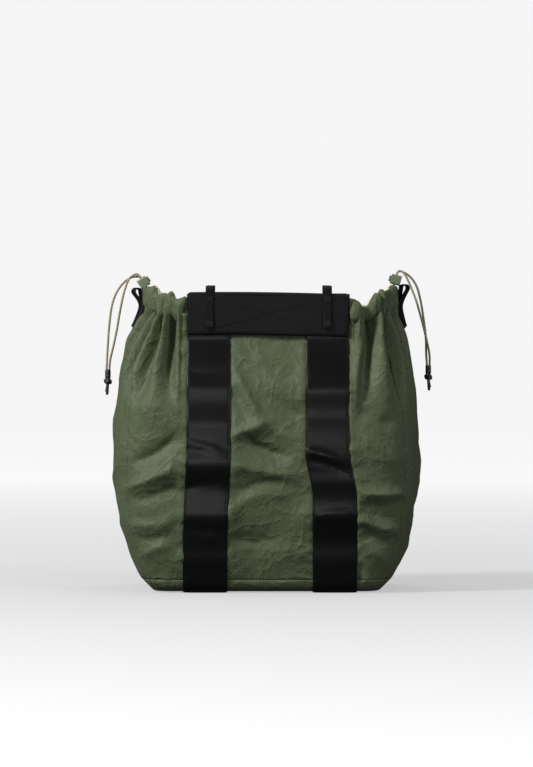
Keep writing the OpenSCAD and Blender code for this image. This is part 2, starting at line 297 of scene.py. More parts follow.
# ---------------------------------------------------------------- shape of the bag

FLAT = 0.095
RIM_Z, CLIMB_Z, SIDE_RISE = 0.311, 0.250, 0.015
SEAM_Z = 0.015
HALF_WIDTH = [(0, 128), (15, 143), (35, 153), (65, 163), (105, 172), (145, 174.5), (180, 174),
              (215, 171), (250, 165), (280, 157.5), (295, 150.5), (305, 146), (311, 143)]
HALF_DEPTH = [(1.7, 85), (4, 91), (9, 94.2), (15, 95.5), (40, 100), (90, 105), (140, 106),
              (190, 103), (230, 94), (260, 82), (285, 72), (311, 72)]
SQUARENESS = [(15, 4), (60, 3.4), (150, 3), (210, 2.6), (260, 2.1), (290, 1.8), (311, 1.6)]
LEAN = [(250, 0), (280, 2), (311, 5)]


def along_height(knots, row, scale, soften):
    """A value against height, with its corners rounded."""
    z, value = np.array(knots, float).T
    z = z * MM
    near = [np.interp(np.clip(row + d, 0, 1), z, value) for d in np.linspace(-soften, soften, 7)]
    return np.mean(near, 0) * scale


def climb(row, angle):
    """How far the cloth climbs at the side tips."""
    up = SIDE_RISE * (row - CLIMB_Z) / (RIM_Z - CLIMB_Z) * (angle - 45) / 45
    return np.where((row > CLIMB_Z) & (angle > 45), up, 0.0)


def wall(side, face, angle, row, inset=0.0, soften=6 * MM):
    """Point on a corner arc of the wall, at an angle from the face (0) to the side (90)."""
    power = 2 / along_height(SQUARENESS, row, 1.0, soften)
    lean = side * along_height(LEAN, row, MM, soften)
    reach = along_height(HALF_WIDTH, row, MM, soften) + lean - FLAT - inset
    deep = along_height(HALF_DEPTH, row, MM, soften) - inset
    rad = np.radians(angle)
    x = side * (FLAT + reach * np.sin(rad) ** power)
    y = face * deep * np.maximum(np.cos(rad), 0) ** power
    return stacked(x, y, row + climb(row, angle))


def even_angles(start, end, count):
    """Angles that cut a corner arc into even lengths at the bag's widest."""
    fine = np.linspace(start, end, 400)
    p = wall(1.0, -1.0, fine, np.full(400, 0.14))
    s = lengths_along(p)
    return np.interp(np.linspace(0, s[-1], count + 1), s, fine)


ARC_HALF = 26
FLAT_STEPS = 46
half_a = even_angles(0.0, 45.0, ARC_HALF)
half_b = even_angles(45.0, 90.0, ARC_HALF)
quarter = np.concatenate([half_a, half_b[1:]])


def ring_columns():
    """Columns round the bag, anticlockwise seen from above, from the middle of the left side's front
    seam: rows of (side, face, angle, flat x). A flat column has angle 0."""
    rows = []
    for face in (-1, 1):
        s0 = face
        for a in quarter[::-1][:-1]:
            rows.append((s0, face, a, np.nan))
        for x in np.linspace(s0 * FLAT, -s0 * FLAT, FLAT_STEPS + 1):
            rows.append((np.sign(x) or 1, face, 0.0, x))
        for a in quarter[1:-1]:
            rows.append((-s0, face, a, np.nan))
    return np.array(rows)


columns = ring_columns()
col_side, col_face, col_angle, col_x = columns.T
is_flat = ~np.isnan(col_x)
COLS = len(columns)
ROWS = 78
row_z = np.linspace(SEAM_Z, RIM_Z + 4 * MM, ROWS)


def shell_points(rows, inset=0.0, soften=6 * MM):
    """Wall points for every row and column."""
    r = rows[:, None]
    p = wall(col_side[None], col_face[None], col_angle[None], r, inset, soften)
    p[:, is_flat, 0] = col_x[is_flat][None]
    return p


base_shell = shell_points(row_z)
belly = shell_points(np.array([0.14]))[0]
around = lengths_along(np.concatenate([belly, belly[:1]]))
girth = around[-1]
around = around[:-1]


def column_lengths(points):
    """Length up the wall of every column, from the base seam."""
    step = np.linalg.norm(np.diff(points, axis=0), axis=-1)
    return np.concatenate([np.zeros((1, points.shape[1])), np.cumsum(step, axis=0)])


up_the_wall = column_lengths(base_shell)


def normals_of(points):
    """Outward normals of a grid that closes round the bag."""
    du = np.roll(points, -1, 1) - np.roll(points, 1, 1)
    dv = np.gradient(points, axis=0)
    return unit(np.cross(du, dv))


# ---------------------------------------------------------------- straps

STRAP_W, STRAP_T, STRAP_X = 50 * MM, 1.6 * MM, 66.5 * MM


def strap_shift(side, face, z):
    """How far a strap wanders sideways: the right one has an S-bend on the front."""
    if side > 0:
        bend = 2.5 * MM + 8.0 * MM * fade(z, 0.158, 0.108)
        return bend if face < 0 else 0.4 * bend
    return 1.5 * MM - 4.3 * MM * fade(z, 0.18, 0.04)


STRAP_CRESTS = {  # heights of the soft bulges along each strap, with their reach and height, in mm
    -1: [(268, 20, 1.2), (214, 17, -1.6), (146, 16, 3.4), (116, 12, -1.8), (86, 14, 2.8), (34, 14, 1.4)],
    1: [(233, 16, 3.4), (198, 15, -2.0), (158, 14, 2.2), (126, 10, 1.8), (88, 14, 3.0), (56, 12, -1.8),
        (24, 11, 2.0)],
}
STRAP_FOLDS = {  # short slanting folds of each strap's front, in the same form as FRONT_FOLDS
    -1: [((-92, 170), (-68, 166), (-44, 158), 5, 1.3), ((-92, 118), (-66, 126), (-46, 122), 5, -1.0),
         ((-90, 250), (-66, 246), (-42, 252), 6, -0.8), ((-94, 70), (-70, 64), (-46, 68), 6, 0.9)],
    1: [((46, 160), (66, 156), (96, 142), 4, 2.0), ((46, 151), (68, 147), (98, 132), 4, -1.7),
        ((46, 246), (68, 250), (92, 244), 6, 1.2), ((54, 84), (78, 90), (100, 80), 6, 1.0)],
}


def strap_wave(side, face, z):
    """How far a strap and the cloth beside it stand out from the wall."""
    total = 0.0
    for height, reach, out in STRAP_CRESTS[side]:
        middle = height if face < 0 else 290 - 0.9 * height
        total = total + out * MM * np.exp(-((z / MM - middle) / reach) ** 2)
    return total * fade(z, 0.012, 0.04) * fade(z, 0.288, 0.27)


def off_straps(x, face, z):
    """Distances sideways from the middle lines of the two straps."""
    return np.array([np.abs(x - (side * STRAP_X + strap_shift(side, face, z))) for side in (-1, 1)])


def under_strap(x, face, z):
    """1 where the cloth lies under a strap."""
    return fade(np.min(off_straps(x, face, z), 0), STRAP_W / 2 + 1 * MM, STRAP_W / 2 - 1 * MM)


def strap_edge(x, face, z, reach):
    """1 at a strap's edge, fading out over reach."""
    off = np.min(np.abs(off_straps(x, face, z) - STRAP_W / 2), 0)
    return np.exp(-(off / reach) ** 2)


# ---------------------------------------------------------------- cloth shell

FAN_ROWS = (215, 250, 285, 318)
# For each front corner, in mm: distance along the wall from the band at FAN_ROWS, and height outwards.
PLEAT_FANS = {
    -1: [
        ((0, 0, 0, 0), 0.5), ((4, 5, 5, 4), 3.2), ((15, 14, 12, 9), -7.0),
        ((35, 29, 21, 15), 8.5), ((54, 44, 31, 21), -6.5), ((70, 58, 41, 27), 7.5),
        ((84, 70, 50, 34), -5.5), ((98, 82, 60, 42), 5.0), ((112, 94, 70, 50), -5.0),
        ((124, 106, 82, 60), 4.5), ((134, 116, 92, 70), -4.0), ((144, 126, 102, 82), 4.0),
    ],
    1: [
        ((0, 0, 0, 0), 0.5), ((6, 8, 12, 11), 3.8), ((12, 15, 22, 25), -9.0),
        ((42, 38, 32, 33), 9.0), ((62, 56, 50, 44), -6.0), ((80, 72, 63, 53), 6.0),
        ((96, 86, 74, 62), -5.0), ((112, 100, 86, 72), 5.0), ((128, 114, 98, 84), -4.0),
        ((140, 126, 108, 94), 3.5),
    ],
}


def pleats(corner, z, along):
    """Gathers that fan out below a drawstring channel, along one row of a corner of the wall."""
    knots = PLEAT_FANS[corner]
    place = np.array([np.interp(z / MM, FAN_ROWS, at) for at, _ in knots]) * MM
    height = np.array([out for _, out in knots]) * MM
    turns = np.interp(along, place, np.arange(len(place)))
    low = np.minimum(turns.astype(int), len(height) - 2)
    step = 0.5 - 0.5 * np.cos(math.pi * (turns - low))
    wave = height[low] + (height[low + 1] - height[low]) * step
    fine = 1.5 * MM * np.sin(along / (1.5 * MM) + 3 * np.sin(along / (9 * MM))) * fade(z, 0.268, 0.305)
    return (wave * 1.2 * fade(z, 0.186, 0.275) + fine) * fade(along, 0.0, 4 * MM)


def corner_columns(side, face):
    """A corner's columns, from the band to the side's middle, and every point's distance from the band."""
    order = np.where((col_side == side) & (col_face == face) & ~is_flat)[0]
    order = order[np.argsort(col_angle[order])]
    start = wall(float(side), float(face), np.zeros((1, 1)), row_z[:, None])
    arc = np.concatenate([start, base_shell[:, order]], 1)
    return order, np.cumsum(np.linalg.norm(np.diff(arc, axis=1), axis=-1), axis=1)


# Folds of the resting cloth, in mm: three points of the line, its width and its height outwards.
FRONT_FOLDS = [  # points are (x, z)
    ((-159, 214), (-127, 212), (-95, 222), 14, 2.4), ((-148, 150), (-120, 162), (-93, 186), 8, -4.8),
    ((-158, 118), (-127, 131), (-93, 146), 7, 5.4), ((-150, 104), (-119, 114), (-95, 124), 8, -2.8),
    ((-155, 80), (-124, 77), (-96, 89), 8, 2.8), ((-148, 62), (-126, 62), (-100, 70), 6, -1.8),
    ((-143, 40), (-122, 52), (-98, 56), 7, 2.4),
    ((110, 178), (135, 158), (163, 138), 12, 2.6), ((106, 114), (135, 112), (165, 115), 5.5, 5.4),
    ((108, 102), (132, 99), (158, 105), 6, -3.0), ((106, 84), (130, 75), (157, 70), 5.5, 5.0),
    ((107, 94), (130, 87), (152, 82), 5, -2.0), ((106, 66), (128, 60), (148, 54), 6, -2.2),
    ((104, 60), (122, 46), (141, 26), 7, 2.6), ((108, 206), (126, 196), (150, 188), 9, -2.2),
    ((-34, 250), (-17, 214), (0, 188), 6.5, 5.4), ((-36, 228), (-26, 206), (-14, 190), 5, -2.2),
    ((-38, 178), (-12, 188), (16, 200), 6.5, 5.2), ((-24, 178), (-2, 163), (36, 151), 6.5, -6.4),
    ((-38, 146), (2, 137), (43, 129), 9, 4.6), ((-34, 112), (2, 127), (34, 119), 6, -2.4),
    ((-38, 94), (-6, 112), (30, 107), 8, 2.8), ((4, 240), (26, 224), (42, 208), 7, 2.4),
    ((8, 222), (24, 208), (40, 196), 5, -2.0), ((-38, 70), (-12, 59), (38, 68), 8, -2.2),
    ((-30, 268), (-6, 262), (20, 270), 7, 1.6), ((14, 182), (28, 176), (42, 178), 6, 2.2),
]
SIDE_FOLDS = [  # points are (y, z)
    ((-74, 150), (-34, 128), (14, 120), 9, 2.2),
    ((-12, 116), (26, 98), (70, 104), 9, -2.2), ((-70, 86), (-40, 76), (-2, 70), 8, 2.0),
    ((6, 62), (34, 54), (66, 40), 7, 1.8), ((-6, 178), (28, 166), (66, 172), 9, -1.8),
]


def one_fold(across, up, fold):
    """A soft fold along a bent line: rounded on one flank and steeper on the other."""
    start, middle, end, width, height = fold
    t = np.linspace(0, 1, 25)[:, None]
    line = ((1 - t) * (1 - 2 * t) * np.array(start) + 4 * t * (1 - t) * np.array(middle)
            + t * (2 * t - 1) * np.array(end))
    away = np.stack([across, up], -1)[..., None, :] - line
    nearest = np.argmin((away ** 2).sum(-1), -1)
    run = unit(np.gradient(line, axis=0))[nearest]
    gap = np.take_along_axis(away, nearest[..., None, None], -2)[..., 0, :]
    off = gap[..., 0] * run[..., 1] - gap[..., 1] * run[..., 0]
    along = gap[..., 0] * run[..., 0] + gap[..., 1] * run[..., 1]
    share = nearest / 24.0
    taper = np.minimum(fade(share, -0.12, 0.16), fade(share, 1.02, 0.62))
    spread = width * (0.8 + 0.5 * share) * np.where(off > 0, 1.15, 0.75)
    crest = np.sqrt((off / spread) ** 2 + 0.09) - 0.3
    return 1.35 * height * taper * np.exp(-1.5 * crest) * np.exp(-(along / (0.8 * width)) ** 2)


def fold_lines(points):
    """Sum of the listed folds, as a height out from the wall."""
    x, y, z = np.moveaxis(points / MM, -1, 0)
    total = np.zeros(x.shape)
    for face in (-1, 1):
        here = (col_face == face) & ((col_angle < 62) | is_flat)
        turn = 1 if face < 0 else -1
        for fold in FRONT_FOLDS:
            total[:, here] += one_fold(turn * x[:, here], z[:, here], fold) * (1.0 if face < 0 else 0.85)
    for side in (-1, 1):
        here = (col_side == side) & (col_angle > 38)
        for fold in SIDE_FOLDS:
            lift = one_fold(-side * y[:, here], z[:, here], fold)
            total[:, here] += lift * fade(col_angle[here], 40, 58)[None]
    return total * MM


def resting_cloth():
    """The wall with its gathers, folds and the small puckers beside each seam."""
    points = shell_points(row_z)
    normal = normals_of(points)
    z = row_z[:, None]
    lift = np.zeros(points.shape[:2])
    for side in (-1, 1):
        for face in (-1, 1):
            order, along = corner_columns(side, face)
            tip = fade(col_angle[order], 90, 72)
            for row in range(ROWS):
                lift[row, order] += pleats(side * -face, row_z[row], along[row]) * tip
    free = np.ones(points.shape[:2])
    for face in (-1, 1):
        here = col_face == face
        free[:, here] *= 1 - under_strap(points[:, here, 0], face, z)
    held = fade(z, SEAM_Z, 0.045)
    lift += fold_lines(points) * held
    flat_u = around[None] + 0 * z
    big = wave_field(3, flat_u, z, 0.045, 0.11)
    fine = wave_field(4, flat_u, z, 0.014, 0.036)
    sharp = (1 - np.abs(fine)) ** 3
    lift += held * (1.0 * MM * big + 0.75 * MM * sharp * (0.4 + 0.6 * np.abs(big)))
    pucker = wave_field(5, 0.35 * flat_u, z + 0.4 * flat_u, 0.008, 0.018)
    wave = np.zeros(points.shape[:2])
    for face in (-1, 1):
        here = col_face == face
        x = points[:, here, 0]
        lift[:, here] += 1.2 * MM * strap_edge(x, face, z, 11 * MM) * pucker[:, here]
        lift[:, here] += 1.5 * MM * strap_edge(x, face, z, 7 * MM) * fade(z, 0.02, 0.05)
        for side in (-1, 1):
            middle = side * STRAP_X + strap_shift(side, face, z)
            near = fade(np.abs(x - middle), 0.052, 0.027)
            wave[:, here] += near * strap_wave(side, face, z)
    seam = np.exp(-((col_angle[None] - 45) / 3.2) ** 2)
    lift += seam * (-0.9 * MM + 0.6 * MM * pucker)
    upright = wave_field(6, flat_u, 0.25 * z, 0.010, 0.024)
    lift += fade(z, SEAM_Z + 20 * MM, SEAM_Z) * 0.55 * MM * upright
    lift = lift * free + wave
    return points + normal * lift[..., None], free


SLACK_AROUND, SLACK_UP = 1.026, 1.024


def cut_cloth(points):
    """The same cloth with the little slack that lets it buckle between its seams."""
    cut = points.copy()
    cut[..., :2] *= SLACK_AROUND
    cut[..., 2] *= SLACK_UP
    return cut


def broad_part(field):
    """The slow part of a field on the wall's grid, left when its small waves are averaged away."""
    for _ in range(60):
        field = (np.roll(field, 1, 1) + 2 * field + np.roll(field, -1, 1)) / 4
        padded = np.concatenate([field[:1], field, field[-1:]])
        field = (padded[:-2] + 2 * field + padded[2:]) / 4
    return field


SETTLE_FRAMES = 18
MOST_MOVED = 11 * MM


def settle(points, free):
    """Lets the cloth find its folds by simulation, held at the straps, the base seam and the rim."""
    piece = link_mesh("settling_cloth", points.reshape(-1, 3), grid_faces(ROWS, COLS, True))
    piece.shape_key_add(name="resting")
    cut = piece.shape_key_add(name="cut")
    cut.data.foreach_set("co", cut_cloth(points).astype(np.float32).ravel())
    cut.value = 0.0
    held = 1 - free
    held[:2] = 1
    held[-3:] = 1
    group = piece.vertex_groups.new(name="held")
    group.add([int(i) for i in np.where(held.ravel() > 0.5)[0]], 1.0, "REPLACE")
    cloth = piece.modifiers.new("cloth", "CLOTH")
    s = cloth.settings
    s.quality = 5
    s.mass = 0.1
    s.tension_stiffness, s.compression_stiffness = 30, 30
    s.shear_stiffness, s.bending_stiffness = 8, 0.25
    s.air_damping = 2
    s.vertex_group_mass = "held"
    s.rest_shape_key = cut
    s.use_pressure = True
    s.uniform_pressure_force = 1.5
    s.effector_weights.gravity = 0.0
    cloth.point_cache.frame_end = SETTLE_FRAMES
    scene = bpy.context.scene
    for number in range(1, SETTLE_FRAMES + 1):
        scene.frame_set(number)
    graph = bpy.context.evaluated_depsgraph_get()
    mesh = piece.evaluated_get(graph).to_mesh()
    found = np.zeros(points.size, np.float32)
    mesh.vertices.foreach_get("co", found)
    scene.frame_set(1)
    bpy.data.objects.remove(piece)
    moved = found.reshape(points.shape).astype(float) - points
    size = np.linalg.norm(moved, axis=-1, keepdims=True)
    moved *= np.where(size > MOST_MOVED, MOST_MOVED / np.maximum(size, 1e-9), 1.0)
    return points + 0.6 * (moved - 0.85 * broad_part(moved))


cloth, cloth_free = resting_cloth()
cloth = settle(cloth, cloth_free)
cloth_normal = normals_of(cloth)

flat_map = stacked(around[None], up_the_wall + SEAM_Z)


def column_range(start, stop):
    """Column numbers from start to stop, going round past the last one."""
    if stop < start:
        stop += COLS
    return np.arange(start, stop + 1) % COLS


def find_column(side, face, angle):
    """The column of a corner that lies nearest to an angle."""
    same = (col_side == side) & (col_face == face) & ~is_flat
    gap = np.where(same, np.abs(col_angle - angle), 1e9)
    return int(np.argmin(gap))


SEAMS = {(s, f): find_column(s, f, 45.0) for s in (-1, 1) for f in (-1, 1)}


def wall_panel(name, start, stop):
    """The cloth between two corner seams."""
    cols = column_range(start, stop)
    flat = flat_map[:, cols].copy()
    flat[:, cols < start, 0] += girth
    piece = grid_piece(name, cloth[:, cols], flat)
    add_modifier(piece, "SUBSURF", levels=1, render_levels=1)
    return thicken(piece, 0.5 * MM)


panels = {
    "front_panel": wall_panel("front_panel_cloth", SEAMS[-1, -1], SEAMS[1, -1]),
    "right_side_panel": wall_panel("right_panel_cloth", SEAMS[1, -1], SEAMS[1, 1]),
    "back_panel": wall_panel("back_panel_cloth", SEAMS[1, 1], SEAMS[-1, 1]),
    "left_side_panel": wall_panel("left_panel_cloth", SEAMS[-1, 1], SEAMS[-1, -1]),
}


def shrink_rows(ring, count, floor_z):
    """Rings that close a floor, from the given ring in to near the middle."""
    rows = []
    for k in range(1, count + 1):
        row = ring.copy()
        row[:, :2] *= 1 - k / (count + 0.5)
        row[:, 2] = floor_z
        rows.append(row)
    return np.array(rows)


BASE_Z = 1.7 * MM


def base_cloth():
    """Base panel: the turned-up edge below the seam, and the underside."""
    heights = np.array([15, 12.5, 10, 7.5, 5.4, 3.8, 2.6, 1.9, 1.7]) * MM
    edge = shell_points(heights, 0.0, 1.2 * MM)
    edge[0] = cloth[0]
    under = shrink_rows(edge[-1], 10, BASE_Z)
    points = np.concatenate([edge, under])[::-1]
    wobble = 0.5 * MM * wave_field(8, points[..., 0], points[..., 1], 0.03, 0.09)
    points[:10, :, 2] += np.abs(wobble[:10])
    return thicken(grid_piece("base_panel_cloth", points, points[..., :2], True), 0.6 * MM)


def lining_cloth():
    """Lining: a pale sack just inside the walls, with its floor."""
    smooth = normals_of(base_shell)
    loose = base_shell - smooth * 10 * MM
    near_rim = fade(row_z, 0.268, 0.296)[:, None, None]
    close = near_rim * (cloth - smooth * 2.6 * MM) + (1 - near_rim) * loose
    inner = np.concatenate([close[:ROWS - 1:2], (cloth[-2] - cloth_normal[-2] * 1.7 * MM)[None]])
    low = shell_points(np.array([12, 9, 7.2]) * MM, 3.2 * MM, 1.2 * MM)
    low[:, :, 2] = np.array([12, 9, 7.0])[:, None] * MM
    floor_rows = shrink_rows(low[-1], 8, 6.6 * MM)
    points = np.concatenate([floor_rows[::-1], low[::-1], inner])
    flat = stacked(around[None], np.arange(len(points))[:, None] * 8 * MM)
    return thicken(grid_piece("lining_cloth", points, flat, True), 0.3 * MM)


panels["base_panel"] = base_cloth()
lining_piece = lining_cloth()

# ---------------------------------------------------------------- webbing

TAB_TOP = 0.337


def strap_path(side):
    """From the front rim down, under the base and up the back."""
    z = np.concatenate([np.linspace(TAB_TOP, 15 * MM, 90), np.array([12, 9, 6.5, 4.5, 3, 2]) * MM])
    deep = along_height(HALF_DEPTH, z, MM, 1.5 * MM)
    lift = STRAP_T / 2 + 0.25 * MM
    slope = np.gradient(deep, z)
    out = unit(np.stack([np.ones_like(z), -slope], -1))
    face_y = deep + lift * out[:, 0]
    face_z = np.maximum(z + lift * out[:, 1], STRAP_T / 2)
    half = np.stack([face_y, face_z], -1)
    rows = []
    for face in (-1, 1):
        x = side * STRAP_X + np.array([strap_shift(side, face, h) for h in half[:, 1]])
        leg = np.stack([x, face * half[:, 0], half[:, 1]], -1)
        rows.append(leg if face < 0 else leg[::-1])
    y = np.linspace(rows[0][-1, 1], rows[1][0, 1], 42)[1:-1]
    x = np.interp(y, [y[0], y[-1]], [rows[0][-1, 0], rows[1][0, 0]])
    under = np.stack([x, y, np.full(40, STRAP_T / 2)], -1)
    return np.concatenate([rows[0], under, rows[1]])


def wide_strap(name, side, seed):
    """50 mm webbing with soft bulges and a few short slanting folds."""
    path = strap_path(side)
    s = lengths_along(path)
    ripple = 0.3 * MM * wave_field(seed, s, 0 * s, 0.02, 0.05)
    on_face = fade(path[:, 2], 0.01, 0.05)
    out = np.where(path[:, 1] < 0, strap_wave(side, -1, path[:, 2]), strap_wave(side, 1, path[:, 2]))
    path[:, 1] += np.sign(path[:, 1]) * (out + ripple) * on_face
    piece = ribbon(name, path, (1, 0, 0), STRAP_W, STRAP_T, corner=9.0, sides=60, crown=0.15 * MM)
    place = np.zeros(len(piece.data.vertices) * 3)
    piece.data.vertices.foreach_get("co", place)
    place = place.reshape(-1, 3)
    for face in (-1, 1):
        here = np.sign(place[:, 1]) == face
        x, z = place[here, 0] / MM, place[here, 2] / MM
        lift = sum(one_fold(x, z, fold) for fold in STRAP_FOLDS[side])
        place[here, 1] += face * lift * MM * fade(z, 12, 30)
    piece.data.vertices.foreach_set("co", place.ravel())
    return piece


straps = {"left_strap": wide_strap("left_strap_webbing", -1, 21),
          "right_strap": wide_strap("right_strap_webbing", 1, 22)}

BAND_LOW, BAND_TOP, BAND_HALF, BAND_T = 0.2905, 0.3388, 0.0905, 2.5 * MM
BAND_X = 2.0 * MM
BAND_Y = 0.0738


def band_surface(face, x, z, out):
    """Point on a rim band's outer skin."""
    bow = 0.9 * MM * np.cos(math.pi * x / (2.4 * BAND_HALF)) + 0.35 * MM * np.sin(x / 0.021 + z / 0.017)
    return stacked(x + BAND_X, face * (BAND_Y + BAND_T + bow + out), z + sag(x))


def sag(x):
    """The band's long edges bow up a little at the middle, and fall to the right."""
    return -1.2 * MM * (x / BAND_HALF) ** 2 - 0.014 * x


def rim_band(name, face):
    """Doubled webbing across the rim, with soft rounded edges."""
    x = np.linspace(-BAND_HALF, BAND_HALF, 96)
    path = band_surface(face, x, np.full_like(x, (BAND_LOW + BAND_TOP) / 2), -BAND_T / 2)
    piece = ribbon(name, path, (0, 0, 1), BAND_TOP - BAND_LOW, BAND_T, corner=10.0, sides=44)
    add_modifier(piece, "BEVEL", width=0.7 * MM, segments=3, limit_method="ANGLE",
                 angle_limit=math.radians(50))
    bake_modifiers(piece)
    return piece


STITCH_PITCH, THREAD_D, THREAD_OUT = 3.4 * MM, 0.75 * MM, 0.12 * MM


def stitches(name, lines, face):
    """Rows of lock stitches lying on a band: each stitch is a short plump thread."""
    points, faces = [], []
    sides, steps = 6, 5
    for (x0, z0), (x1, z1) in lines:
        run = np.array([x1 - x0, z1 - z0], float)
        span = np.linalg.norm(run)
        run /= span
        count = max(1, int(round(span / STITCH_PITCH)))
        for k in range(count):
            a = (k + 0.12) * span / count
            b = (k + 0.88) * span / count
            t = np.linspace(0, 1, steps)
            s = a + (b - a) * t
            place = band_surface(face, x0 + run[0] * s, z0 + run[1] * s, THREAD_OUT)
            place[:, 1] -= face * 0.45 * THREAD_D * (2 * t - 1) ** 4 * 1.3
            r = THREAD_D / 2 * (1 - 0.55 * (2 * t - 1) ** 4)
            across = np.array([-run[1], 0, run[0]])
            for i in range(steps):
                for j in range(sides):
                    w = 2 * math.pi * j / sides
                    turned = math.cos(w) * across + math.sin(w) * np.array([0, 1, 0])
                    points.append(place[i] + r[i] * turned)
            first = len(points) - steps * sides
            faces += [list(f) for f in grid_faces(steps, sides, True, first)]
            faces += [[first + j for j in range(sides)][::-1],
                      [first + (steps - 1) * sides + j for j in range(sides)]]
    return link_mesh(name, points, faces)


def band_stitching(name, face):
    """A row round the band's edge, and a long cross between two upright rows."""
    inset = 3.2 * MM
    x, low, high = BAND_HALF - inset, BAND_LOW + inset, BAND_TOP - inset
    corner = [(-x, low), (x, low), (x, high), (-x, high)]
    box = [(corner[i], corner[(i + 1) % 4]) for i in range(4)]
    reach, middle = 60.5 * MM, (BAND_LOW + BAND_TOP) / 2
    under, over = middle - 16.5 * MM, middle + 16.5 * MM
    cross = [((-reach, over), (reach, under)), ((-reach, under), (reach, over)),
             ((-reach, under), (-reach, over)), ((reach, under), (reach, over))]
    return stitches(name, box + cross, face)


LOOP_W, LOOP_T, LOOP_X = 9.4 * MM, 1.2 * MM, 2.4 * MM
LOOP_Y, LOOP_R = 0.0728, 4.3 * MM


def loop_lean(z):
    """How far the lower part of a rim loop stands further out."""
    return 1.0 * MM * fade(z, 0.33, 0.30)


def rim_loop(name, side, face):
    """Narrow tape folded over the rim: rounded lower end outside, short leg inside."""
    top_z = 0.3415
    turn = np.radians(np.linspace(0, 180, 22))
    arc = np.stack([LOOP_Y + LOOP_R * np.cos(turn), top_z + LOOP_R * np.sin(turn)], -1)
    outer_z = np.linspace(0.297, top_z, 34)[:-1]
    outer = np.stack([LOOP_Y + LOOP_R + loop_lean(outer_z), outer_z], -1)
    inner = np.stack([np.full(12, LOOP_Y - LOOP_R), np.linspace(top_z, 0.326, 13)[1:]], -1)
    line = np.concatenate([outer, arc, inner])
    x = side * STRAP_X + LOOP_X + 0.4 * MM * np.sin(line[:, 1] / 0.013 + side)
    path = np.stack([x, face * line[:, 0], line[:, 1]], -1)
    s = lengths_along(path)
    width = LOOP_W * np.sqrt(np.clip(1 - (1 - np.clip(s / (4.6 * MM), 0.12, 1)) ** 2, 0, 1))
    return ribbon(name, path, (1, 0, 0), width, LOOP_T, corner=7.0, sides=20)


def bar_tacks(name, side, face):
    """Dense bars of thread that fix a rim loop to the band."""
    made = []
    for low, high in ((0.3005, 0.3065), (0.3285, 0.334)):
        for i, z in enumerate(np.arange(low, high, 0.62 * MM)):
            y = LOOP_Y + LOOP_R + LOOP_T / 2 + loop_lean(z) + 0.1 * MM
            x = side * STRAP_X + LOOP_X + np.linspace(-4.3 * MM, 4.3 * MM, 7)
            skew = 0.25 * MM * (-1) ** i
            path = np.stack([x, np.full(7, face * y), z + np.linspace(-skew, skew, 7)], -1)
            made.append(tube("bar", path, 0.36 * MM, 6))
    return join(name, made)


bands = {name + "_band": rim_band(name + "_band_webbing", face) for face, name in FACES}
band_threads = [band_stitching(name + "_band_stitching", face) for face, name in FACES]
rim_loops, loop_threads = {}, []
for face, face_name in FACES:
    for side, side_name in SIDES:
        key = face_name + "_" + side_name + "_loop"
        rim_loops[key] = rim_loop(key + "_tape", side, face)
        loop_threads.append(bar_tacks(key + "_bar_tacks", side, face))

SIDE_RING = {1: (157.5, 343.5), -1: (148.0, 339.5)}
LOOP_TURN = math.radians(34)


def side_loop(name, side):
    """Folded tape sewn to the side panel, open at its top like a drop."""
    foot = [wall(float(side), -1.0, 80.0, np.array([r]), 0.0, 1 * MM)[0] for r in (0.290, 0.298, 0.311)]
    foot = [np.array([abs(p[0]) / MM + 1.8 + more, p[2] / MM]) for p, more in zip(foot, (0.0, 0.6, 2.5))]
    centre, r = np.array(SIDE_RING[side]), 3.9
    turn = np.radians(np.arange(165, -41, -15))
    ring = [centre + r * np.array([math.cos(a), math.sin(a)]) for a in turn]
    tail = [foot[2] + (1.9, 1.6), foot[1] + (1.6, 0), foot[0] + (1.5, 2)]
    line = np.array(foot + ring + tail)
    forward = -8.0 * fade(line[:, 1], 345, 305)
    path = np.stack([side * line[:, 0], forward, line[:, 1]], -1) * MM
    path = smooth_route(path, 0.9 * MM)
    across = (side * math.sin(LOOP_TURN), math.cos(LOOP_TURN), 0.0)
    return ribbon(name, path, across, LOOP_W, LOOP_T, corner=7.0, sides=20)


side_loops = {name + "_side_loop": side_loop(name + "_side_loop_tape", side) for side, name in SIDES}

# ---------------------------------------------------------------- drawstring channels

CHANNEL_TOPS = {  # distance from the middle and height of each channel's top edge, in mm
    (-1, -1): [(93, 335), (98, 329), (103, 332), (110, 340), (118, 337), (127, 344), (136, 345), (146, 343)],
    (1, -1): [(93, 334), (100, 329), (108, 324), (115, 325), (121, 334), (130, 340), (138, 343), (147, 346)],
    (-1, 1): [(93, 334), (98, 328), (106, 325), (114, 329), (126, 339), (138, 342), (146, 343)],
    (1, 1): [(93, 333), (98, 326), (106, 322), (118, 323), (128, 333), (138, 341), (147, 345)],
}


def uneven_folds(along, seed, count):
    """Bunched folds of mixed width, about -1 to 1."""
    rng = np.random.default_rng(seed)
    total = 0.0
    for factor, weight in ((0.55, 0.5), (1.0, 0.8), (1.62, 0.5), (2.5, 0.25)):
        phase, drift = rng.uniform(0, 2 * math.pi, 2)
        warped = along + 0.03 * np.sin(2 * math.pi * 1.9 * along + drift)
        total = total + weight * np.sin(2 * math.pi * count * factor * warped + phase)
    spread = 0.55
    return np.tanh(total * 1.2) * spread + total * (1 - spread) * 0.6


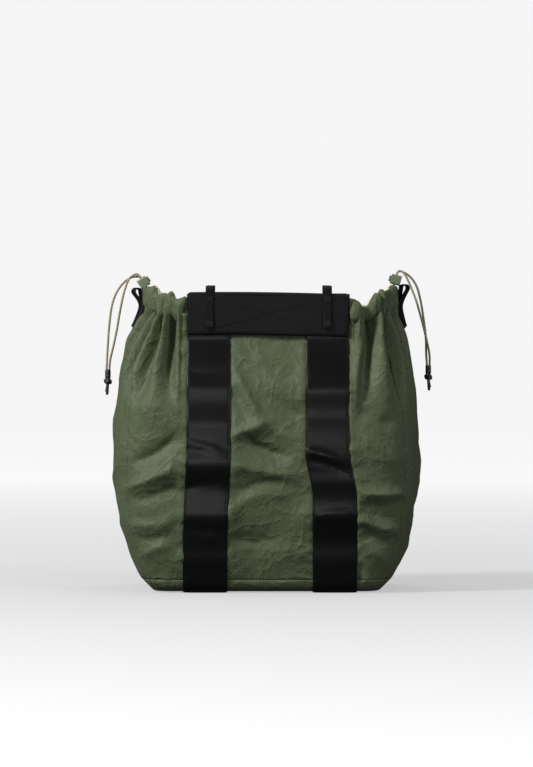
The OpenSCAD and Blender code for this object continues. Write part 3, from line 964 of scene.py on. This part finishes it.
def channel_tube(name, side, face, seed):
    """The gathered edge of the cloth, folded over the cord: a soft tube bunched into uneven folds."""
    stations, count = 230, 52
    angle = np.linspace(0.0, 88.5, 400)
    rim = wall(float(side), float(face), angle, np.full(400, RIM_Z), 1.5 * MM)
    s = lengths_along(rim)
    even = np.linspace(0, s[-1], stations)
    path = np.stack([np.interp(even, s, rim[:, k]) for k in range(3)], -1)
    share = even / s[-1]
    rng = np.random.default_rng(seed)
    a, b, c = rng.uniform(0, 2 * math.pi, 3)
    start = BAND_X + side * 90.8 * MM
    path[:, 0] += (start - path[0, 0]) * fade(share, 0.12, 0.0)
    reach, height = np.array(CHANNEL_TOPS[side, face], float).T * MM
    top = np.interp(np.abs(path[:, 0]), reach, height)
    top = np.convolve(np.pad(top, 6, mode="edge"), np.ones(13) / 13, mode="valid")
    bottom = path[:, 2] - 5.0 * MM + 2.0 * MM * np.sin(2 * math.pi * 2.2 * share + a)
    bottom = np.minimum(bottom, top - 15 * MM)
    tall = top - bottom
    path[:, 2] = (top + bottom) / 2
    t = tangents(path * (1, 1, 0))
    up = np.array([0.0, 0.0, 1.0])
    out = unit(np.cross(t, up) * side * face * -1)
    w = np.arange(count) * 2 * math.pi / count
    slant = 0.014 * np.sin(w + b)[None] + 0.006 * np.sin(2 * w + a)[None]
    bunch = uneven_folds(share[:, None] + 1.6 * slant, seed, 4.6)
    small = uneven_folds(share[:, None] - 1.4 * slant, seed + 50, 14.0)
    drawn = np.exp(-((np.sin(w)[None] - 0.15) / 0.55) ** 2)
    push = 3.1 * MM * bunch + 0.5 * MM * small - 1.2 * MM * drawn
    wide = (6.2 * MM + 0.9 * MM * np.sin(2 * math.pi * 1.4 * share + c))[:, None] + push
    wide = wide * (1 - 0.4 * fade(share, 0.78, 0.95))[:, None]
    rise = tall[:, None] / 2 + 0.8 * push
    close = np.clip(np.minimum(share / 0.012, (1 - share) / 0.02), 0.0, 1.0)[:, None] ** 0.5
    soft = 0.55 + 0.45 * close
    belly_out = 1.2 * MM * np.sin(w)[None] * np.sin(2 * math.pi * 2.6 * share + b)[:, None]
    rings = (path[:, None] + out[:, None] * ((wide * np.cos(w)[None] + belly_out) * soft)[..., None]
             + up * (rise * soft * np.sin(w)[None])[..., None])
    tucked = 3.2 * MM * fade(share, 0.05, 0.16)[:, None] * close
    rings -= out[:, None] * (tucked * fade(np.sin(w), -0.1, -1.0)[None])[..., None]
    rings += t[:, None] * (0.9 * MM * np.sin(w[None] * 2 + 1.2 * bunch + a) * close)[..., None]
    inside = rings[2:-2, (w > 1.75) & (w < 4.4)]
    middle = inside.mean(1, keepdims=True)
    inside = inside + 0.7 * MM * unit(inside - middle - out[2:-2, None] * 4 * MM)
    flat = stacked(even[2:-2, None], np.arange(inside.shape[1])[None] * MM)
    facing = thicken(grid_piece(name.replace("_cloth", "_facing"), inside, flat), 0.3 * MM, 0.0)
    return closed_sweep(name, rings, even * 1.5), facing


channels, facings = {}, []
for i, (side, side_name) in enumerate(SIDES):
    for j, (face, face_name) in enumerate(FACES):
        key = side_name + "_" + face_name + "_channel"
        channels[key], facing = channel_tube(key + "_cloth", side, face, 31 + 2 * i + j)
        facings.append(facing)


def rim_tab(name, face):
    """The cloth and lining behind a rim band, up to its top edge."""
    x = np.linspace(-0.088, 0.088, 40) + BAND_X
    z = np.linspace(0.300, TAB_TOP + 0.8 * MM, 12)
    grid_x, grid_z = np.meshgrid(x, z)
    y = face * (0.0706 + 0.35 * MM * np.sin(grid_x / 0.017) * fade(grid_z, 0.31, 0.33))
    points = np.stack([grid_x, y, grid_z + sag(grid_x)], -1)
    return thicken(grid_piece(name, points, np.stack([grid_x, grid_z], -1)), 1.6 * MM, 0.0)


tabs = [rim_tab(name + "_rim_facing", face) for face, name in FACES]

# ---------------------------------------------------------------- cord ends

def revolve_rings(axis_from, axis_to, profile):
    """Rings round a line from (share along, radius) pairs."""
    a, b = np.array(axis_from), np.array(axis_to)
    t = unit(b - a)
    u = unit(np.cross(t, (0.0, 1.0, 0.2)))
    v = np.cross(t, u)
    w = np.arange(20) * 2 * math.pi / 20
    circle = u[None] * np.cos(w)[:, None] + v[None] * np.sin(w)[:, None]
    return np.array([a + (b - a) * s + r * circle for s, r in profile])


def cord_end(name, x, z, lean):
    """A moulded sleeve over both strands, then an overhand knot and the cut tail."""
    top, bottom = np.array((x, 0, z + 0.2 * MM)), np.array((x, 0, z - 10 * MM))
    profile = [(0.0, 2.0 * MM), (0.01, 2.8 * MM), (0.05, 3.15 * MM), (0.45, 3.3 * MM), (0.5, 3.05 * MM),
               (0.56, 3.3 * MM), (0.93, 3.15 * MM), (0.98, 2.8 * MM), (1.0, 2.0 * MM)]
    s = np.array([p[0] for p in profile])
    sleeve = closed_sweep(name, revolve_rings(top, bottom, profile), s * 0.01)
    middle = np.array((x, 0, z - 13.2 * MM))
    w = np.linspace(0, 2 * math.pi, 90)
    trefoil = np.stack([np.sin(w) + 2 * np.sin(2 * w), np.cos(w) - 2 * np.cos(2 * w), -np.sin(3 * w)], -1)
    knot_path = middle + trefoil * np.array((1.05, 1.05, 1.6)) * MM
    knot = tube("knot", knot_path, 1.85 * MM, 10)
    tail_path = smooth_route([middle, middle + np.array((lean * 0.2, -0.6, -5)) * MM,
                              middle + np.array((lean * 0.5, -0.4, -10)) * MM,
                              middle + np.array((lean * 1.0, 0.4, -15.2)) * MM], 0.8 * MM)
    radius = np.full(len(tail_path), 1.65 * MM)
    radius[-1] = 1.35 * MM
    tail = tube("tail", tail_path, radius)
    share = np.linspace(0, 1, len(tail_path))[:, None]
    twin_path = tail_path + np.array((1.5 * lean, 0.9, 1.2)) * MM * share
    twin = tube("tail", twin_path[:-3], 1.4 * MM)
    return join(name, [sleeve, knot, tail, twin])


cord_ends = {"right": cord_end("right_cord_end_knot", 184.95 * MM, 0.255, 1),
             "left": cord_end("left_cord_end_knot", -181.35 * MM, 0.250, -1)}

# ---------------------------------------------------------------- shader groups

class Nodes:
    """Short calls for building a node tree."""

    def __init__(self, tree):
        self.tree = tree

    def add(self, kind, **inputs):
        node = self.tree.nodes.new(("" if kind.startswith("NodeGroup") else "ShaderNode") + kind)
        for key, value in inputs.items():
            if hasattr(node, key) and key not in node.inputs:
                setattr(node, key, value)
        for key, value in inputs.items():
            if key in node.inputs:
                self.put(node.inputs[key], value)
        return node

    def put(self, target, value):
        if isinstance(value, bpy.types.NodeSocket):
            self.tree.links.new(value, target)
        else:
            target.default_value = value

    def math(self, operation, *values):
        node = self.tree.nodes.new("ShaderNodeMath")
        node.operation = operation
        for place, value in zip(node.inputs, values):
            self.put(place, value)
        return node.outputs[0]

    def times(self, a, b):
        return self.math("MULTIPLY", a, b)

    def plus(self, a, b):
        return self.math("ADD", a, b)

    def minus(self, a, b):
        return self.math("SUBTRACT", a, b)

    def remap(self, value, low, high, to_low, to_high):
        node = self.add("MapRange", Value=value)
        for number, place in zip((low, high, to_low, to_high), ("From Min", "From Max", "To Min", "To Max")):
            self.put(node.inputs[place], number)
        return node.outputs["Result"]

    def mix(self, share, a, b):
        """A blend of two colours."""
        node = self.tree.nodes.new("ShaderNodeMix")
        node.data_type, node.blend_type = "RGBA", "MIX"
        self.put(node.inputs[0], share)
        self.put(node.inputs[6], a)
        self.put(node.inputs[7], b)
        return node.outputs[2]


def new_group(name, inputs, outputs):
    """A shader node group whose sockets are all plain numbers."""
    group = bpy.data.node_groups.new(name, "ShaderNodeTree")
    for label, value in inputs:
        made = group.interface.new_socket(name=label, in_out="INPUT", socket_type="NodeSocketFloat")
        made.default_value = value
    for label in outputs:
        group.interface.new_socket(name=label, in_out="OUTPUT", socket_type="NodeSocketFloat")
    n = Nodes(group)
    return group, n, n.add("NodeGroupInput").outputs, n.add("NodeGroupOutput").inputs


def woven_group():
    """Plain weave from the cut cloth's own metres: crossing threads as a height and a shade."""
    group, n, given, made = new_group(
        "plain_weave", [("Threads per Metre", 2200.0), ("Slub", 0.25)],
        ["Height", "Shade"])
    uv = n.add("UVMap").outputs[0]
    split = n.add("SeparateXYZ", Vector=uv)
    slub = n.add("TexNoise", Vector=uv, Scale=240.0, Detail=2.0).outputs[0]
    wander = n.times(n.minus(slub, 0.5), given["Slub"])
    turns = n.times(given["Threads per Metre"], math.pi)
    wave_u = n.math("SINE", n.plus(n.times(split.outputs[0], turns), wander))
    wave_v = n.math("SINE", n.plus(n.times(split.outputs[1], turns), wander))
    over = n.times(wave_u, wave_v)
    height = n.plus(n.times(n.math("ABSOLUTE", over), 0.7), n.times(slub, 0.5))
    n.put(made["Height"], height)
    n.put(made["Shade"], n.remap(n.plus(over, n.times(slub, 2.0)), 0.0, 2.0, 0.0, 1.0))
    return group


def crumple_group():
    """Small sharp creases left by folding and handling, over a soft waviness."""
    group, n, given, made = new_group(
        "handled_creases", [("Size", 0.03), ("Sharpness", 4.0)],
        ["Height", "Mask"])
    place = n.add("TexCoord").outputs["Object"]
    scale = n.math("DIVIDE", 1.0, given["Size"])
    lines = []
    for share, weight in ((0.45, 1.0), (1.0, 0.55), (2.1, 0.28)):
        noise = n.add("TexNoise", Vector=place, Scale=n.times(scale, share), Detail=1.5,
                      Distortion=0.7).outputs[0]
        off = n.math("ABSOLUTE", n.minus(noise, 0.5))
        ridge = n.math("POWER", n.remap(off, 0.0, 0.26, 1.0, 0.0), given["Sharpness"])
        lines.append(n.times(ridge, weight))
    total = n.plus(n.plus(lines[0], lines[1]), lines[2])
    soft = n.add("TexNoise", Vector=place, Scale=scale, Detail=3.0, Roughness=0.5).outputs[0]
    n.put(made["Height"], n.plus(total, n.times(soft, 0.8)))
    n.put(made["Mask"], n.remap(total, 0.4, 1.4, 0.0, 1.0))
    return group


def ribs_group():
    """Webbing: fine picks across the tape and a twill that runs along it, with plain edges. Its Shade is
    partly painted shade, darker in the twill's valleys, and partly random fuzz.
    """
    group, n, given, made = new_group(
        "webbing_ribs", [("Picks per Metre", 900.0), ("Twill per Metre", 420.0)],
        ["Height", "Shade"])
    uv = n.add("UVMap").outputs[0]
    split = n.add("SeparateXYZ", Vector=uv)
    turn = 2 * math.pi
    picks = n.times(n.times(split.outputs[1], given["Picks per Metre"]), turn)
    ends = n.times(n.times(split.outputs[0], given["Twill per Metre"]), turn)
    fuzz = n.add("TexNoise", Vector=uv, Scale=900.0, Detail=2.0).outputs[0]
    weft = n.math("SINE", n.plus(picks, n.times(fuzz, 1.5)))
    warp = n.math("ABSOLUTE", n.math("SINE", n.plus(ends, n.times(weft, 0.6))))
    n.put(made["Height"], n.plus(n.times(warp, 0.7), n.times(weft, 0.3)))
    # Partly painted shade: Shade follows the twill's height, darker in its valleys, mixed with random fuzz.
    n.put(made["Shade"], n.remap(n.plus(warp, fuzz), 0.2, 1.6, 0.0, 1.0))
    return group


def edge_stitch_group():
    """Two lock-stitched rows, one along each edge of a tape: a mask of short threads in a furrow."""
    group, n, given, made = new_group(
        "edge_stitches", [("Half Width", 0.0258), ("Inset", 0.003), ("Pitch", 0.003)],
        ["Thread", "Furrow"])
    uv = n.add("UVMap").outputs[0]
    split = n.add("SeparateXYZ", Vector=uv)
    edge = n.math("PINGPONG", split.outputs[0], given["Half Width"])
    off = n.math("ABSOLUTE", n.minus(edge, given["Inset"]))
    turns = n.times(n.math("DIVIDE", split.outputs[1], given["Pitch"]), 2 * math.pi)
    dash = n.remap(n.math("SINE", turns), -0.8, -0.4, 0.0, 1.0)
    line = n.remap(off, 0.0003, 0.0005, 1.0, 0.0)
    n.put(made["Thread"], n.times(line, dash))
    n.put(made["Furrow"], n.remap(off, 0.0002, 0.0012, 1.0, 0.0))
    return group


def braid_group():
    """Round braid: two sets of strands crossing round the cord. Its Shade is painted shade taken from the
    height, darker in the grooves between the strands.
    """
    group, n, given, made = new_group(
        "round_braid", [("Plaits per Metre", 520.0), ("Round", 490.0)],
        ["Height", "Shade"])
    uv = n.add("UVMap").outputs[0]
    split = n.add("SeparateXYZ", Vector=uv)
    turn = 2 * math.pi
    along = n.times(n.times(split.outputs[1], given["Plaits per Metre"]), turn)
    round_ = n.times(n.times(split.outputs[0], given["Round"]), turn)
    one = n.math("SINE", n.plus(along, round_))
    two = n.math("SINE", n.minus(along, round_))
    height = n.math("MAXIMUM", one, two)
    n.put(made["Height"], height)
    # Painted shade: the Shade output darkens the colour wherever the braid is low, in the grooves between
    # strands.
    n.put(made["Shade"], n.remap(height, -0.4, 1.0, 0.0, 1.0))
    return group


def dust_group():
    """Pale lint and handling marks, as a mask."""
    group, n, given, made = new_group("lint", [("Amount", 0.3)], ["Mask"])
    place = n.add("TexCoord").outputs["Object"]
    wide = n.add("TexNoise", Vector=place, Scale=22.0, Detail=5.0, Roughness=0.6).outputs[0]
    speck = n.add("TexNoise", Vector=place, Scale=900.0, Detail=2.0).outputs[0]
    mask = n.times(n.remap(wide, 0.45, 0.75, 0.0, 1.0), n.remap(speck, 0.5, 0.72, 0.2, 1.0))
    n.put(made["Mask"], n.times(mask, given["Amount"]))
    return group


WEAVE, CREASED, RIBS, STITCHED = woven_group(), crumple_group(), ribs_group(), edge_stitch_group()
BRAID, LINT = braid_group(), dust_group()


def start_material(name):
    """A new material, its nodes and its main shader."""
    material = bpy.data.materials.new(name)
    material.use_nodes = True
    n = Nodes(material.node_tree)
    return material, n, material.node_tree.nodes["Principled BSDF"]


def use_group(n, group, **values):
    """Places an effect's group in a material with the material's own values."""
    node = n.add("Group")
    node.node_tree = group
    for key, value in values.items():
        n.put(node.inputs[key.replace("_", " ")], value)
    return node.outputs


def cloth_material(name, dark, mid, light, roughness, sheen, threads=2200.0, creases=0.45):
    """Woven cloth: thread shade, faded creases, lint, and a weave and crease bump."""
    material, n, shader = start_material(name)
    weave = use_group(n, WEAVE, Threads_per_Metre=threads)
    folds = use_group(n, CREASED, Size=0.022)
    lint = use_group(n, LINT, Amount=0.10)
    place = n.add("TexCoord").outputs["Object"]
    tone = n.add("TexNoise", Vector=place, Scale=9.0, Detail=4.0).outputs[0]
    base = n.mix(n.remap(tone, 0.35, 0.68, 0.0, 1.0), (*dark, 1), (*mid, 1))
    thread = n.mix(n.times(weave["Shade"], 0.5), base, (*light, 1))
    rubbed = n.mix(n.times(folds["Mask"], 0.22), thread, (*light, 1))
    n.put(shader.inputs["Base Color"], n.mix(lint["Mask"], rubbed, (0.30, 0.30, 0.27, 1)))
    n.put(shader.inputs["Roughness"], n.remap(weave["Height"], 0.0, 1.2, roughness - 0.08, roughness + 0.08))
    shader.inputs["Sheen Weight"].default_value = sheen
    shader.inputs["Sheen Roughness"].default_value = 0.45
    shader.inputs["Specular IOR Level"].default_value = 0.16
    crease = n.add("Bump", Strength=creases, Distance=1.8 * MM, Height=folds["Height"])
    fine = n.add("Bump", Strength=0.35, Distance=0.12 * MM, Height=weave["Height"],
                 Normal=crease.outputs[0])
    n.put(shader.inputs["Normal"], fine.outputs[0])
    return material


def webbing_material(name, base, light, roughness, picks, twill, gloss, half_width):
    """Satin woven tape with a stitched row along each edge."""
    material, n, shader = start_material(name)
    ribs = use_group(n, RIBS, Picks_per_Metre=picks, Twill_per_Metre=twill)
    lint = use_group(n, LINT, Amount=0.07)
    sewn = use_group(n, STITCHED, Half_Width=half_width)
    # The ribs' Shade puts painted shade into the tape's colour, darker in the twill's valleys, over random
    # fuzz.
    tone = n.mix(n.times(ribs["Shade"], 0.8), (*base, 1), (*light, 1))
    dusty = n.mix(lint["Mask"], tone, (0.06, 0.06, 0.065, 1))
    n.put(shader.inputs["Base Color"], n.mix(sewn["Thread"], dusty, (0.0015, 0.0015, 0.002, 1)))
    n.put(shader.inputs["Roughness"], n.remap(ribs["Height"], -0.3, 1.0, roughness + 0.10, roughness - 0.05))
    shader.inputs["Specular IOR Level"].default_value = gloss
    bump = n.add("Bump", Strength=0.12, Distance=0.2 * MM, Height=ribs["Height"])
    furrow = n.add("Bump", Strength=0.35, Distance=0.4 * MM, Normal=bump.outputs[0], invert=True)
    n.put(furrow.inputs["Height"], n.minus(sewn["Furrow"], n.times(sewn["Thread"], 0.7)))
    n.put(shader.inputs["Normal"], furrow.outputs[0])
    return material


def cord_material(name, base, light, plaits, sheen=0.2, gloss=0.4):
    """Plaited cord or twisted sewing thread."""
    material, n, shader = start_material(name)
    braid = use_group(n, BRAID, Plaits_per_Metre=plaits)
    lint = use_group(n, LINT, Amount=0.25 * sheen)
    # The braid's Shade paints shade into the cord's and thread's colour, darker in the grooves between
    # strands.
    tone = n.mix(braid["Shade"], (*base, 1), (*light, 1))
    n.put(shader.inputs["Base Color"], n.mix(lint["Mask"], tone, (0.4, 0.38, 0.3, 1)))
    shader.inputs["Roughness"].default_value = 0.78
    shader.inputs["Sheen Weight"].default_value = sheen
    shader.inputs["Specular IOR Level"].default_value = gloss
    bump = n.add("Bump", Strength=0.8, Distance=0.35 * MM, Height=braid["Height"])
    n.put(shader.inputs["Normal"], bump.outputs[0])
    return material


def moulded_material(name, base, light, roughness, metallic=0.0):
    """Moulded plastic or drawn wire: a fine texture with slight scuffs."""
    material, n, shader = start_material(name)
    place = n.add("TexCoord").outputs["Object"]
    grain = n.add("TexNoise", Vector=place, Scale=2600.0, Detail=3.0).outputs[0]
    scuff = n.add("TexNoise", Vector=place, Scale=160.0, Detail=5.0, Roughness=0.65).outputs[0]
    lint = use_group(n, LINT, Amount=0.2)
    tone = n.mix(n.remap(scuff, 0.4, 0.7, 0.0, 1.0), (*base, 1), (*light, 1))
    n.put(shader.inputs["Base Color"], n.mix(lint["Mask"], tone, (0.42, 0.42, 0.38, 1)))
    n.put(shader.inputs["Roughness"], n.remap(scuff, 0.3, 0.7, roughness - 0.07, roughness + 0.1))
    shader.inputs["Metallic"].default_value = metallic
    bump = n.add("Bump", Strength=0.25, Distance=0.05 * MM, Height=grain)
    n.put(shader.inputs["Normal"], bump.outputs[0])
    return material


olive_cloth = cloth_material("olive_nylon_cloth", (0.049, 0.063, 0.031), (0.058, 0.074, 0.037),
                             (0.080, 0.098, 0.052), 0.56, 0.03)
pale_cloth = cloth_material("pale_lining_cloth", (0.42, 0.38, 0.27), (0.50, 0.46, 0.34),
                            (0.60, 0.56, 0.44), 0.75, 0.1, 1800.0, 0.4)
strap_tape = webbing_material("satin_strap_webbing", (0.0010, 0.0010, 0.0011), (0.0020, 0.0020, 0.0022),
                              0.33, 1100.0, 900.0, 0.22, 25.8 * MM)
band_tape = webbing_material("rim_band_webbing", (0.0034, 0.0034, 0.0041), (0.0064, 0.0064, 0.0075),
                             0.50, 1100.0, 900.0, 0.15, 25.5 * MM)
loop_tape = webbing_material("narrow_loop_webbing", (0.0022, 0.0022, 0.0027), (0.0042, 0.0042, 0.0050),
                             0.50, 1000.0, 900.0, 0.13, 5.5 * MM)
black_thread = cord_material("black_sewing_thread", (0.0012, 0.0012, 0.0016), (0.003, 0.003, 0.0035),
                             1500.0, 0.0, 0.1)
tack_thread = cord_material("bar_tack_thread", (0.0045, 0.0045, 0.005), (0.010, 0.010, 0.011),
                            1500.0, 0.0, 0.3)
khaki_braid = cord_material("khaki_braided_cord", (0.20, 0.175, 0.105), (0.36, 0.32, 0.21), 420.0)
black_rubber = moulded_material("black_sleeve_and_tail", (0.010, 0.010, 0.011), (0.02, 0.02, 0.022), 0.55)
sage_plastic = moulded_material("sage_lock_plastic", (0.090, 0.118, 0.068), (0.120, 0.15, 0.092), 0.38)
spring_wire = moulded_material("spring_wire", (0.45, 0.45, 0.46), (0.58, 0.58, 0.6), 0.3, 1.0)
stiff_sheet = moulded_material("stiffener_sheet", (0.015, 0.015, 0.017), (0.028, 0.028, 0.03), 0.6)


def finish_piece(piece, material, body="bag", nodes=()):
    """Material, body and the CAD nodes that the piece stands for."""
    piece.data.materials.clear()
    piece.data.materials.append(material)
    if body:
        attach(piece, body)
    if nodes:
        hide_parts(*nodes)


def finish_each(pieces, material):
    """Pieces keyed by a CAD node stand for that node; those in a plain list are extra."""
    if isinstance(pieces, dict):
        for node_name, piece in pieces.items():
            finish_piece(piece, material, nodes=[node_name])
    else:
        for piece in pieces:
            finish_piece(piece, material)


finish_each(panels, olive_cloth)
finish_each({"lining": lining_piece}, pale_cloth)
finish_each(tabs + facings, pale_cloth)
finish_each(straps, strap_tape)
finish_each(bands, band_tape)
finish_each(band_threads, black_thread)
finish_each(loop_threads, tack_thread)
finish_each(rim_loops, loop_tape)
finish_each(side_loops, loop_tape)
finish_each(channels, olive_cloth)

for sign, side_name in SIDES:
    body = side_name + "_lock"
    finish_piece(cord_ends[side_name], black_rubber, body, [side_name + "_cord_end"])
    for _, face_name in FACES:
        key = side_name + "_" + face_name
        piece, path = strands[key]
        finish_piece(piece, khaki_braid, None, [key + "_cord"])
        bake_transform(piece)

for name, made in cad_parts.items():
    if name.endswith(("_lock_body", "_lock_plunger")):
        chosen = sage_plastic
    elif name.endswith("_spring"):
        chosen = spring_wire
    elif name == "base_stiffener":
        chosen = stiff_sheet
    else:
        continue
    made.data.materials.clear()
    made.data.materials.append(chosen)

# ---------------------------------------------------------------- floor and light

# The floor's own light as the camera sees it, near the bag and far off, and as the bag sees it.
NEAR_GLOW, FAR_GLOW, FLOOR_BOUNCE = 0.455, 0.895, 0.03


def pale_sweep():
    """Floor that curves up into a wall behind."""
    turn = np.radians(np.linspace(5, 90, 18))
    y = np.concatenate([np.linspace(-12, 8, 40), 8 + 2 * np.sin(turn), np.full(8, 10.0)])
    z = np.concatenate([np.zeros(40), 2 - 2 * np.cos(turn), np.linspace(2.2, 9, 8)])
    x = np.linspace(-14, 14, 28)
    points = stacked(x[None], y[:, None], z[:, None])
    piece = grid_piece("pale_floor", points, points[..., :2])
    material, n, shader = start_material("pale_paper")
    place = n.add("TexCoord").outputs["Object"]
    grain = n.add("TexNoise", Vector=place, Scale=60.0, Detail=3.0).outputs[0]
    paper = n.mix(grain, (0.148, 0.148, 0.148, 1), (0.152, 0.152, 0.152, 1))
    seen = n.add("LightPath").outputs["Is Camera Ray"]
    n.put(shader.inputs["Base Color"], n.mix(seen, (0.03, 0.03, 0.03, 1), paper))
    shader.inputs["Roughness"].default_value = 0.9
    shader.inputs["Emission Color"].default_value = (1, 1, 1, 1)
    away = n.add("VectorMath", Vector=place)
    away.operation = "LENGTH"
    glow = n.remap(away.outputs["Value"], 0.0, 3.2, NEAR_GLOW, FAR_GLOW)
    shine = n.add("Mix", Factor=seen, A=FLOOR_BOUNCE, B=glow).outputs[0]
    n.put(shader.inputs["Emission Strength"], shine)
    piece.data.materials.append(material)


def light_room():
    """A dim dome, a strong key from the left, and three weaker softboxes."""
    world = bpy.data.worlds.new("studio")
    world.use_nodes = True
    n = Nodes(world.node_tree)
    back = world.node_tree.nodes["Background"]
    back.inputs[0].default_value = (1, 1, 1, 1)
    seen = n.add("LightPath").outputs["Is Camera Ray"]
    height = n.add("SeparateXYZ", Vector=n.add("TexCoord").outputs["Generated"]).outputs[2]
    dome = n.remap(height, 0.1, 0.7, 0.02, 0.09)
    n.put(back.inputs[1], n.add("Mix", Factor=seen, A=dome, B=0.92).outputs[0])
    bpy.context.scene.world = world
    area_light("key_softbox", (-2.2, -1.3, 2.0), (0.55, 0.55), 142.0)
    area_light("fill_softbox", (2.3, -1.7, 1.5), (0.8, 0.9), 36.0)
    area_light("front_strip", (-0.35, -2.9, 0.86), (0.7, 0.22), 12.0)
    area_light("top_softbox", (0.1, 0.6, 2.4), (1.4, 1.0), 20.0)
    view = bpy.context.scene.view_settings
    view.view_transform = "Standard"
    view.look = "None"


pale_sweep()
light_room()
